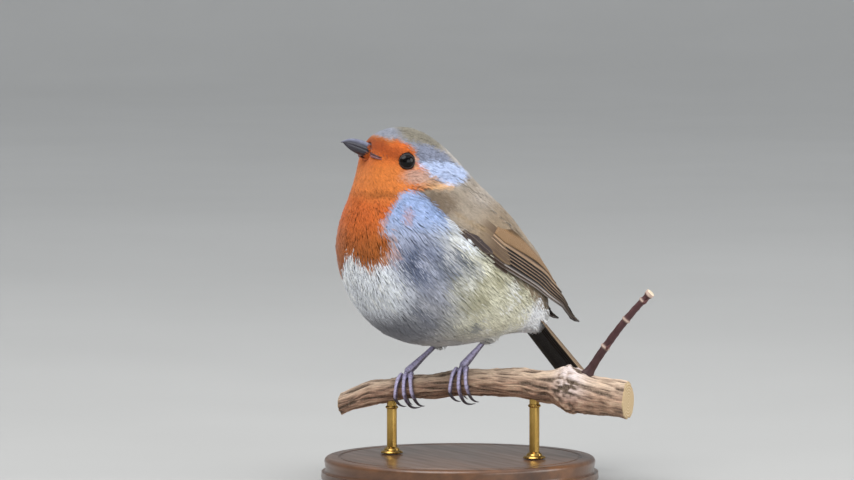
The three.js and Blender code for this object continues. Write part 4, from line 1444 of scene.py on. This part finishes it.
def make_gape():
    """The corner of the mouth, a soft fold of bare skin behind the bill, and the bristles over it."""
    upper, lower, bristles = [], [], []
    places = [(25.3, 2.6, 71.0), (24.6, 3.5, 70.5), (23.7, 4.7, 69.9), (22.9, 5.6, 69.4), (22.2, 6.3, 69.1)]
    lifts = [0.2, 0.4, 0.6, 0.65, 0.5]
    for side in (-1, 1):
        for lips, step, girth in ((upper, 0.28, 0.8), (lower, -0.28, 0.85)):
            path = [on_skin(f, side * l, z + step, lift) for (f, l, z), lift in zip(places, lifts)]
            lips.append((path, [r * girth for r in (0.22, 0.40, 0.42, 0.32, 0.12)]))
        for k in range(1, 6):
            start = on_skin(24.6 - 0.75 * k, side * (3.4 + 0.6 * k), 71.5 - 0.3 * k, 0.7)
            reach = np.array((side * (0.7 + 0.2 * k), -1.5 + 0.2 * k, -0.4 - 0.1 * k))
            bend = np.array((side * 0.4, -0.4, -0.5))
            path = [start + reach * t + bend * t * t for t in np.linspace(0, 1, 5)]
            bristles.append((path, [0.06, 0.055, 0.045, 0.03, 0.015]))
    finish_piece(joined_tubes("gape_upper_lip", upper, 12), gape_dark)
    finish_piece(joined_tubes("gape_lower_lip", lower, 12), gape_pale)
    finish_piece(joined_tubes("rictal_bristles", bristles, 5), lid_skin)


make_gape()


# ---- Eyes ----

def make_eye(side):
    """A dark eyeball, and a ring of bare lid round it."""
    node_name = f"eye_{side}"
    low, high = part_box(node_name)
    radius = (high[2] - low[2]) / 2 / MM
    centre, gaze, across, upward = eye_view(side)
    bpy.ops.object.select_all(action="DESELECT")
    bpy.ops.mesh.primitive_uv_sphere_add(
        segments=48, ring_count=32, radius=radius * MM, location=ORIGIN + centre * MM)
    ball = bpy.context.active_object
    ball.name = f"{node_name}_ball"
    bpy.ops.object.transform_apply(location=True, rotation=True, scale=True)
    points = mesh_points(ball.data)
    facing = unit(points - centre) @ gaze
    shade_smooth(ball)
    tone = mix(shade("050404"), shade("150d09"), ramp(0.90, 0.86, facing) * ramp(0.60, 0.70, facing))
    paint(ball, tone)
    finish_piece(ball, eye_gloss, [node_name])

    # The lids lie on the ball as a ring, a little longer than it is high.
    path = []
    STEPS = 48
    for k in range(STEPS):
        angle = 2 * math.pi * k / STEPS
        offset = across * math.cos(angle) * LID_RING[0] + upward * math.sin(angle) * LID_RING[1]
        out = math.sqrt(max(0.1, (radius + 0.02) ** 2 - offset @ offset))
        path.append(centre + offset + gaze * out)
    path = np.array(path)
    rings = []
    SIDES = 12
    for k in range(STEPS):
        tangent = unit(path[(k + 1) % STEPS] - path[k - 1])
        away = unit(path[k] - centre)
        beside = unit(np.cross(tangent, away))
        angle = 2 * math.pi * np.arange(SIDES) / SIDES
        thick = 0.22 + 0.01 * math.sin(k * 2.1)
        rings.append(path[k] + thick * np.cos(angle)[:, None] * beside + 0.15 * np.sin(angle)[:, None] * away)
    rings = np.array(rings)
    faces = []
    for r in range(STEPS):
        for i in range(SIDES):
            j = (i + 1) % SIDES
            s = (r + 1) % STEPS
            faces.append((r * SIDES + i, r * SIDES + j, s * SIDES + j, s * SIDES + i))
    piece = face_outwards(new_piece(f"eyelids_{side}", rings.reshape(-1, 3), np.array(faces)))
    finish_piece(piece, lid_skin)


make_eye("left")
make_eye("right")


# ---- Branch ----

branch_points = mesh_points(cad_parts["perch_branch"].data)
rod_low = (np.array(middle_of("stand_rod_1")) - ORIGIN)[:2]
rod_high = (np.array(middle_of("stand_rod_2")) - ORIGIN)[:2]
HEADING = np.append(unit(rod_high - rod_low), 0.0)  # along the branch, towards its thick end
ACROSS = np.array((HEADING[1], -HEADING[0], 0.0))
UP = np.array((0.0, 0.0, 1.0))


def branch_rings():
    """Distance along, height of the axis and radius of each ring of the branch."""
    along = branch_points @ HEADING
    stations = []
    for value in np.unique(np.round(along, 1)):
        ring = branch_points[np.abs(along - value) < 0.15]
        if len(np.unique(np.round(ring, 2), axis=0)) < 10:
            continue
        low, high = ring[:, 2].min(), ring[:, 2].max()
        stations.append((value, (low + high) / 2, (high - low) / 2))
    stations = np.array(stations)
    if stations[-1, 2] < 0.75 * stations[-2, 2]:  # a slanting end shows only part of its last ring
        stations[-1, 1:] = 2 * stations[-2, 1:] - stations[-3, 1:]
    return stations


BRANCH = branch_rings()
BRANCH_FROM, BRANCH_TO = BRANCH[0, 0], BRANCH[-1, 0]
KNOT = BRANCH[np.argmax(BRANCH[:, 2]), 0]


def branch_at(along):
    return np.interp(along, BRANCH[:, 0], BRANCH[:, 1]), np.interp(along, BRANCH[:, 0], BRANCH[:, 2])


def bark_height(along, angle):
    """How far the bark stands out from the branch's round form: long peeling ridges, ragged at the knot."""
    twist = angle + 0.012 * along
    ring = np.stack([np.cos(twist) * 4.2, np.sin(twist) * 4.2, along], axis=-1)
    wander = 0.5 * cloud(ring, (3, 3, 5), 20)[..., None] * np.array((1, 1, 0))
    ridges = 1 - 2.0 * np.abs(cloud(ring + wander, (0.65, 0.65, 5.0), 21))
    strips = ramp(-0.1, 0.12, cloud(ring + wander, (1.7, 1.7, 13.0), 22))
    fine = cloud(ring, (0.35, 0.35, 2.4), 23)
    knot = np.exp(-((along - KNOT - 0.5) / 4.2) ** 2)
    ragged = cloud(ring, (0.7, 0.7, 1.6), 24) + 0.5 * cloud(ring, (0.35, 0.35, 0.8), 25)
    return 0.30 * ridges + 0.24 * strips + 0.14 * fine - 0.30 + knot * (0.6 * ragged - 0.1)


def sawn_rings(ring, outward):
    """Rings from a sawn end's chamfered edge in to its middle."""
    centre = ring.mean(axis=0)
    steps = ((0.93, 0.25), (0.7, 0.27), (0.4, 0.28), (0.12, 0.28))
    return np.array([centre + (ring - centre) * share + HEADING * outward * step for share, step in steps])


def sawn_map(rings):
    offset = rings - rings[0].mean(axis=0)
    return np.stack([offset @ ACROSS, offset @ UP], axis=-1)


def make_branch():
    """Bark with ridges and a ragged pale knot, painted lighter on its top side as painted light, sawn off at
    both ends.
    """
    ROWS, SIDES = 380, 96
    stations = np.linspace(BRANCH_FROM, BRANCH_TO, ROWS)
    angle = 2 * math.pi * np.arange(SIDES) / SIDES
    rings, tones, maps = [], [], []
    for s in stations:
        up, radius = branch_at(s)
        height = bark_height(np.full(SIDES, s), angle)
        r = radius * (1 + 0.04 * np.sin(3 * angle + s * 0.35)) + height
        section = ACROSS * (r * np.cos(angle))[:, None] + UP * (up + r * np.sin(angle))[:, None]
        rings.append(HEADING * s + section)
        level = ramp(-0.40, 0.20, height)
        here = np.stack([np.cos(angle) * 3, np.sin(angle) * 3, np.full(SIDES, s)], 1)
        reddish = ramp(0.0, 0.8, cloud(here, (2, 2, 16), 26))
        # Painted light: the ridges are painted paler on the branch's top side, and the pale knot is painted
        # paler on its upper side.
        painted_top_light = ramp(-0.1, 0.9, np.sin(angle))
        pale_knot_and_top_light = math.exp(-((s - KNOT - 2.2) / 4.8) ** 2) * ramp(-0.6, 0.5, np.sin(angle))
        tones.append(laid(
            shade("38241c"),
            (shade("d9ab90"), level),
            (shade("98604f"), reddish * 0.5 * level),
            (shade("f4dcc4"), painted_top_light * level * 0.95),
            (shade("e3c6a8"), ramp(0.05, 0.3, height) * 0.6),
            (shade("fbeef0"), pale_knot_and_top_light * 0.95 * ramp(-0.4, 0.1, height)),
        ))
        maps.append(np.stack([np.full(SIDES, s), angle * 4.2], axis=1))
    # The sawn ends: a chamfered edge, then rings of pale wood in to the middle.
    first, last = sawn_rings(rings[0], -1), sawn_rings(rings[-1], 1)
    cut = np.tile(shade("c8ad84"), (len(first), SIDES, 1))
    colours = np.concatenate([cut, tones, cut])
    uv = np.concatenate([sawn_map(first)[::-1], maps, sawn_map(last)])
    piece = new_piece("branch_bark", *loft(np.concatenate([first[::-1], rings, last])))
    paint(piece, np.concatenate([colours.reshape(-1, 3), cut[0, :2]]))
    map_uv(piece, "Grain", np.concatenate([uv.reshape(-1, 2), np.zeros((2, 2))]))
    face_outwards(piece)
    finish_piece(piece, [bark, cut_wood], ["perch_branch"])
    # Faces on the sawn ends take the pale wood.
    centres = np.empty(len(piece.data.polygons) * 3, np.float32)
    piece.data.polygons.foreach_get("center", centres)
    where = (centres.reshape(-1, 3) - ORIGIN) / MM @ HEADING
    sawn = (where < BRANCH_FROM - 0.02) | (where > BRANCH_TO + 0.02)
    piece.data.polygons.foreach_set("material_index", sawn.astype(np.int32))


make_branch()


# ---- Legs ----

TOES = ("inner", "middle", "outer", "hind")
LEG_SKIN_DARK = shade("352a38")
# Pale lilac, painted as a highlight on the legs.
LEG_PAINTED_HIGHLIGHT = shade("cfc8f0")
TARSUS_SCUTE = 2.3
TOE_SCUTE = 0.95


def round_branch(points):
    """Height over the branch's axis and angle round it, for places near the feet."""
    along = points @ HEADING
    up, radius = branch_at(along)
    across, high = points @ ACROSS, points[:, 2] - up
    return np.hypot(across, high) - radius, np.arctan2(across, high) * radius


def make_leg(side):
    """Tarsus and toes as one skin, ridged with scutes on the tarsus's front and the tops of the toes."""
    nodes = [f"tarsus_{side}"] + [f"toe_{side}_{toe}" for toe in TOES]
    tarsus = mesh_points(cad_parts[nodes[0]].data)
    axis = np.linalg.svd(tarsus - tarsus.mean(axis=0), full_matrices=False)[2][0]
    axis = axis * math.copysign(1, axis[2])
    reach = tarsus @ axis
    low = tarsus[reach < reach.min() + 1.0].mean(axis=0)
    pads = [(low + axis * 0.3, 1.45), (low + np.array((0, -0.2, -0.8)), 1.3)]
    piece = united(f"leg_{side}_skin", nodes, 0.24, 0.14, 12, pads)
    points, normals = mesh_points(piece.data), vertex_normals(piece.data)
    trees = [raw_surface([name]) for name in nodes]
    gaps = np.stack([gap_to(tree, points) for tree in trees], axis=1)
    on_tarsus = ramp(0.5, -0.5, gaps[:, 0] - gaps[:, 1:].min(axis=1))
    down_tarsus = (points - low) @ axis
    slim = 0.13 - on_tarsus * 0.10 + on_tarsus * 0.30 * ramp(2, 9, down_tarsus)
    points = points - normals * slim[:, None]
    height, round_toe = round_branch(points)
    front = ramp(-0.2, 0.6, normals @ np.array((0, -1, 0.3)))
    top = ramp(0.3, 1.3, height)
    tarsus_ridge = np.abs(((down_tarsus / TARSUS_SCUTE) % 1) - 0.5) * 2
    uneven = 0.45 * cloud(points, 1.4, 42)
    toe_ridge = np.abs(((round_toe / TOE_SCUTE + uneven) % 1) - 0.5) * 2
    groove = on_tarsus * ramp(0.75, 1.0, tarsus_ridge) * front
    groove = groove + (1 - on_tarsus) * ramp(0.72, 1.0, toe_ridge) * top
    grain = cloud(points, 0.35, 41)
    joint = (1 - on_tarsus) * 0.05 * np.cos(round_toe * 2 * math.pi / 3.6)
    points = points + normals * (joint - 0.07 * groove + 0.02 * grain)[:, None]
    place(piece.data, points)
    shade_smooth(piece)
    # Painted highlight: the tops of the toes that face forward and the front of the tarsus are painted pale
    # lilac, and painted shade darkens the scute grooves.
    ahead = ramp(0.1, 0.9, normals @ unit(np.array((0.25, -0.9, 0.35))))
    lit = np.maximum(top * ahead * (1 - on_tarsus), 0.8 * front * on_tarsus)
    highlight_share = np.clip(0.10 + lit + 0.2 * grain, 0, 1) * (1 - 0.4 * groove)
    tone = mix(LEG_SKIN_DARK, LEG_PAINTED_HIGHLIGHT, highlight_share)
    paint(piece, tone)
    finish_piece(piece, leg_skin, nodes)
    claws = [f"claw_{side}_{toe}" for toe in TOES]
    tubes = [claw_path(name, toe) for name, toe in zip(claws, nodes[1:])]
    finish_piece(joined_tubes(f"claws_{side}_horn", tubes, 14), claw_material, claws)


def claw_path(claw, toe):
    """The middle line of a claw from inside its toe to its tip, with radii that draw to a point."""
    points = mesh_points(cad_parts[claw].data)
    root = points[np.argmin(gap_to(raw_surface([toe]), points))]
    away = np.linalg.norm(points - root, axis=1)
    start = points[away < 1.1].mean(axis=0)
    middle = points[np.abs(away - away.max() * 0.55) < 0.8].mean(axis=0)
    end = points[away > away.max() - 0.5].mean(axis=0)
    control = 2 * middle - (start + end) / 2
    start = start - unit(control - start) * 0.7
    t = np.linspace(0, 1, 14)[:, None]
    path = (1 - t) ** 2 * start + 2 * t * (1 - t) * control + t * t * end
    return path, 0.05 + 0.54 * (1 - t[:, 0]) ** 0.75


make_leg("left")
make_leg("right")


# ---- Twig ----

def make_twig():
    """A short side shoot, swollen at its buds and cut off slantwise at its tip."""
    points = mesh_points(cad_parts["perch_twig"].data)
    main = np.linalg.svd(points - points.mean(axis=0), full_matrices=False)[2][0]
    main = main * math.copysign(1, main[2])
    reach = points @ main
    low = points[reach < reach.min() + 1.2].mean(axis=0)
    high = points[reach > reach.max() - 0.8].mean(axis=0)
    middle = points[np.abs(reach - (reach.min() + reach.max()) / 2) < 3].mean(axis=0)
    middle = blend((low + high) / 2, middle, 0.5)
    control = 2 * middle - (low + high) / 2
    low = low - unit(control - low) * 1.2
    STEPS, SIDES = 120, 22
    buds = (0.30, 0.62, 0.88)
    path, radii, tones = [], [], []
    for k in range(STEPS + 1):
        t = k / STEPS
        path.append((1 - t) ** 2 * low + 2 * t * (1 - t) * control + t * t * high)
        swell = sum(math.exp(-((t - b) / 0.012) ** 2) for b in buds)
        collar = 0.8 * math.exp(-(t / 0.05) ** 2)
        radii.append(1.35 - 0.38 * t + 0.36 * swell + collar + 0.5 * float(ramp(0.93, 0.97, t)))
        pale = max(min(1.0, swell), float(ramp(0.955, 0.975, t)))
        tones.append(laid(shade("2f1718"), (shade("4c282a"), t), (shade("e6ccba"), 0.85 * pale)))
    rings = np.array(tube_rings(path, radii, SIDES))
    centre = np.array(path)[:, None, :]
    wrinkle = cloud(rings.reshape(-1, 3), (0.6, 0.6, 1.6), 51).reshape(rings.shape[:2])
    rings = centre + (rings - centre) * (1 + 0.06 * wrinkle)[..., None]
    cap_centre = rings[-1].mean(axis=0)
    rings = np.concatenate([rings, [cap_centre + (rings[-1] - cap_centre) * 0.85 + main * 0.12]])
    made, faces = loft(rings)
    piece = face_outwards(new_piece("twig_bark", made, faces))
    colours = np.repeat(np.array(tones + [shade("f2e2c4")]), SIDES, axis=0)
    colours[:-SIDES] *= (1 + 0.15 * wrinkle).reshape(-1, 1)
    paint(piece, np.concatenate([colours, np.tile(shade("f2e2c4"), (2, 1))]))
    finish_piece(piece, twig_skin, ["perch_twig"])
    # A small pointed bud stands over each leaf scar, on alternate sides.
    tubes = []
    for k, b in enumerate(buds):
        here = np.array(path[int(b * STEPS)])
        tangent = unit(np.array(path[int(b * STEPS) + 1]) - here)
        out = unit(np.cross(tangent, (0.3, 1, 0.2))) * (1 if k % 2 else -1)
        start = here + out * 0.9
        bend = [start + out * 0.9 * s + tangent * 2.2 * s * s for s in np.linspace(0, 1, 7)]
        tubes.append((bend, [0.55, 0.62, 0.6, 0.5, 0.38, 0.22, 0.06]))
    piece = joined_tubes("twig_buds", tubes, 12)
    paint(piece, np.tile(shade("5e3634"), (len(piece.data.vertices), 1)))
    finish_piece(piece, twig_skin)


make_twig()


# ---- Stand ----

def turned(name, profile, centre, sides):
    """A lathe-turned solid from its profile of [radius, height], listed from the bottom up."""
    angle = 2 * math.pi * np.arange(sides) / sides
    circle = np.stack([np.cos(angle), np.sin(angle), np.zeros(sides)], axis=1)
    rings = [np.array(centre) + circle * radius + np.array((0, 0, height)) for radius, height in profile]
    points, faces = loft(rings)
    piece = face_outwards(new_piece(name, points, faces))
    pick_only(piece)
    bpy.ops.object.shade_smooth_by_angle(angle=math.radians(30))
    return piece


def rounded(corner, radius, start, steps=6):
    """Points of a quarter round of a turned edge, from one heading to the next, in degrees."""
    angles = np.radians(np.linspace(start, start + 90, steps))
    return [(corner[0] + radius * math.cos(a), corner[1] + radius * math.sin(a)) for a in angles]


def upright(node_name):
    """Radius and height of an upright round node, and the middle of its foot."""
    low, high = np.array(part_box(node_name)) / MM
    foot = np.append((low[:2] + high[:2]) / 2, low[2]) - ORIGIN / MM
    return (high[0] - low[0]) / 2, high[2] - low[2], foot


def make_base():
    """A turned disc with a rounded foot, a cove under its lip, a shallow groove on top and a felt pad below.
    """
    radius, thick, centre = upright("stand_base")
    FELT = 0.8
    profile = [(0.4, FELT * 0.5), (radius - 1.6, FELT * 0.5)]
    profile += rounded((radius - 1.3, FELT * 0.5 + 1.3), 1.3, -90)
    profile += [(radius - 0.1, thick * 0.42)]
    profile += [(radius - 0.9 - 0.5 * math.sin(a), thick * 0.42 + 0.8 * (1 - math.cos(a)))
                for a in np.linspace(0.3, math.pi / 2, 5)]
    profile += rounded((radius - 2.4, thick - 1.4), 1.4, 0)
    profile += [(radius - 5.2, thick), (radius - 5.5, thick - 0.35), (radius - 6.1, thick - 0.35),
                (radius - 6.4, thick), (radius * 0.5, thick), (0.4, thick)]
    finish_piece(turned("base_disc", profile, centre, 160), base_wood, ["stand_base"])
    felt = [(0.4, 0.0), (radius - 3.2, 0.0), (radius - 3.0, 0.2), (radius - 3.0, FELT), (0.4, FELT)]
    finish_piece(turned("base_felt", felt, centre, 96), felt_cloth)


def make_rod(name):
    """A polished rod with a turned collar on the base and a small cup under the branch."""
    radius, length, centre = upright(name)
    collar = [(1.9, 0.0), (2.0, 0.25), (1.7, 0.7), (1.0, 0.95), (0.75, 1.5), (0.3, 1.8), (0.0, 2.0)]
    cup = [(0.0, -2.6), (0.35, -2.4), (0.45, -2.1), (0.35, -1.8), (0.0, -1.6), (0.0, 0.0)]
    profile = [(0.1, 0.0)] + [(radius + out, up) for out, up in collar]
    profile += [(radius, length * 0.5)] + [(radius + out, length + up) for out, up in cup]
    profile.append((0.1, length))
    finish_piece(turned(f"{name}_brass", profile, centre, 40), brass, [name])


make_base()
for rod in ("stand_rod_1", "stand_rod_2"):
    make_rod(rod)


# ---- Studio ----

CAMERA_AZIMUTH = 63
CAMERA_ELEVATION = 4
CAMERA_DISTANCE = 2.0
VIEW_WIDTH = 271.11 * MM  # what the frame takes in at the bird, at life size
SENSOR = 36.0
STAND_MIDDLE = Vector((-9.81, -6.69, 76.40)) * MM  # where the camera looks, from the stand's underside


def stand_back(name, data, azimuth, elevation, distance):
    """Puts a camera or a lamp at a distance from the stand's middle and aims it back there."""
    made = bpy.data.objects.new(name, data)
    bpy.context.scene.collection.objects.link(made)
    a, e = math.radians(azimuth), math.radians(elevation)
    towards = Vector((math.sin(a) * math.cos(e), -math.cos(a) * math.cos(e), math.sin(e)))
    made.location = STAND_MIDDLE + towards * distance
    made.rotation_euler = (-towards).to_track_quat("-Z", "Y").to_euler()
    return made


def make_camera():
    data = bpy.data.cameras.new("camera")
    data.sensor_width = SENSOR
    data.lens = SENSOR * CAMERA_DISTANCE / VIEW_WIDTH
    data.clip_end = 100
    camera = stand_back("camera", data, CAMERA_AZIMUTH, CAMERA_ELEVATION, CAMERA_DISTANCE)
    bpy.context.scene.camera = camera


def soft_light(name, azimuth, elevation, distance, size, power, colour):
    data = bpy.data.lights.new(name, "AREA")
    data.shape = "DISK"
    data.size = size
    data.energy = power
    data.color = colour
    stand_back(name, data, azimuth, elevation, distance)


def make_studio():
    """A round sweep of pale paper: flat under the stand, curving up far behind it on every side."""
    REACH, CURVE, TALL, SIDES = 2600, 1500, 2400, 96
    profile = [(1.0, 0.0), (500, 0.0), (1500, 0.0)]
    profile += [(REACH + CURVE * math.sin(a), CURVE * (1 - math.cos(a)))
                for a in np.linspace(0, math.pi / 2, 14)]
    profile += [(REACH + CURVE, CURVE + TALL)]
    angle = 2 * math.pi * np.arange(SIDES) / SIDES
    circle = np.stack([np.cos(angle), np.sin(angle), np.zeros(SIDES)], axis=1)
    floor_level = np.array((0, 0, -ORIGIN[2] / MM))
    rings = np.array([floor_level + circle * r + np.array((0, 0, h)) for r, h in profile])
    points, faces = loft(rings)
    faces[1] = faces[1][:SIDES]
    floor = new_piece("studio_floor", points, faces)
    floor.data.materials.append(paper)
    world = bpy.data.worlds.new("studio")
    world.use_nodes = True
    world.node_tree.nodes["Background"].inputs["Color"].default_value = (0.92, 0.95, 1.0, 1)
    world.node_tree.nodes["Background"].inputs["Strength"].default_value = 1.14
    bpy.context.scene.world = world
    soft_light("key", 32, 56, 1.4, 1.2, 15.5, (1.0, 0.98, 0.96))
    soft_light("fill", 102, 8, 1.7, 1.2, 9, (0.95, 0.98, 1.0))
    soft_light("rim", 142, 16, 1.5, 0.9, 8.5, (1.0, 0.99, 0.97))
    scene = bpy.context.scene
    scene.view_settings.view_transform = "Standard"
    scene.view_settings.look = "None"


make_camera()
make_studio()
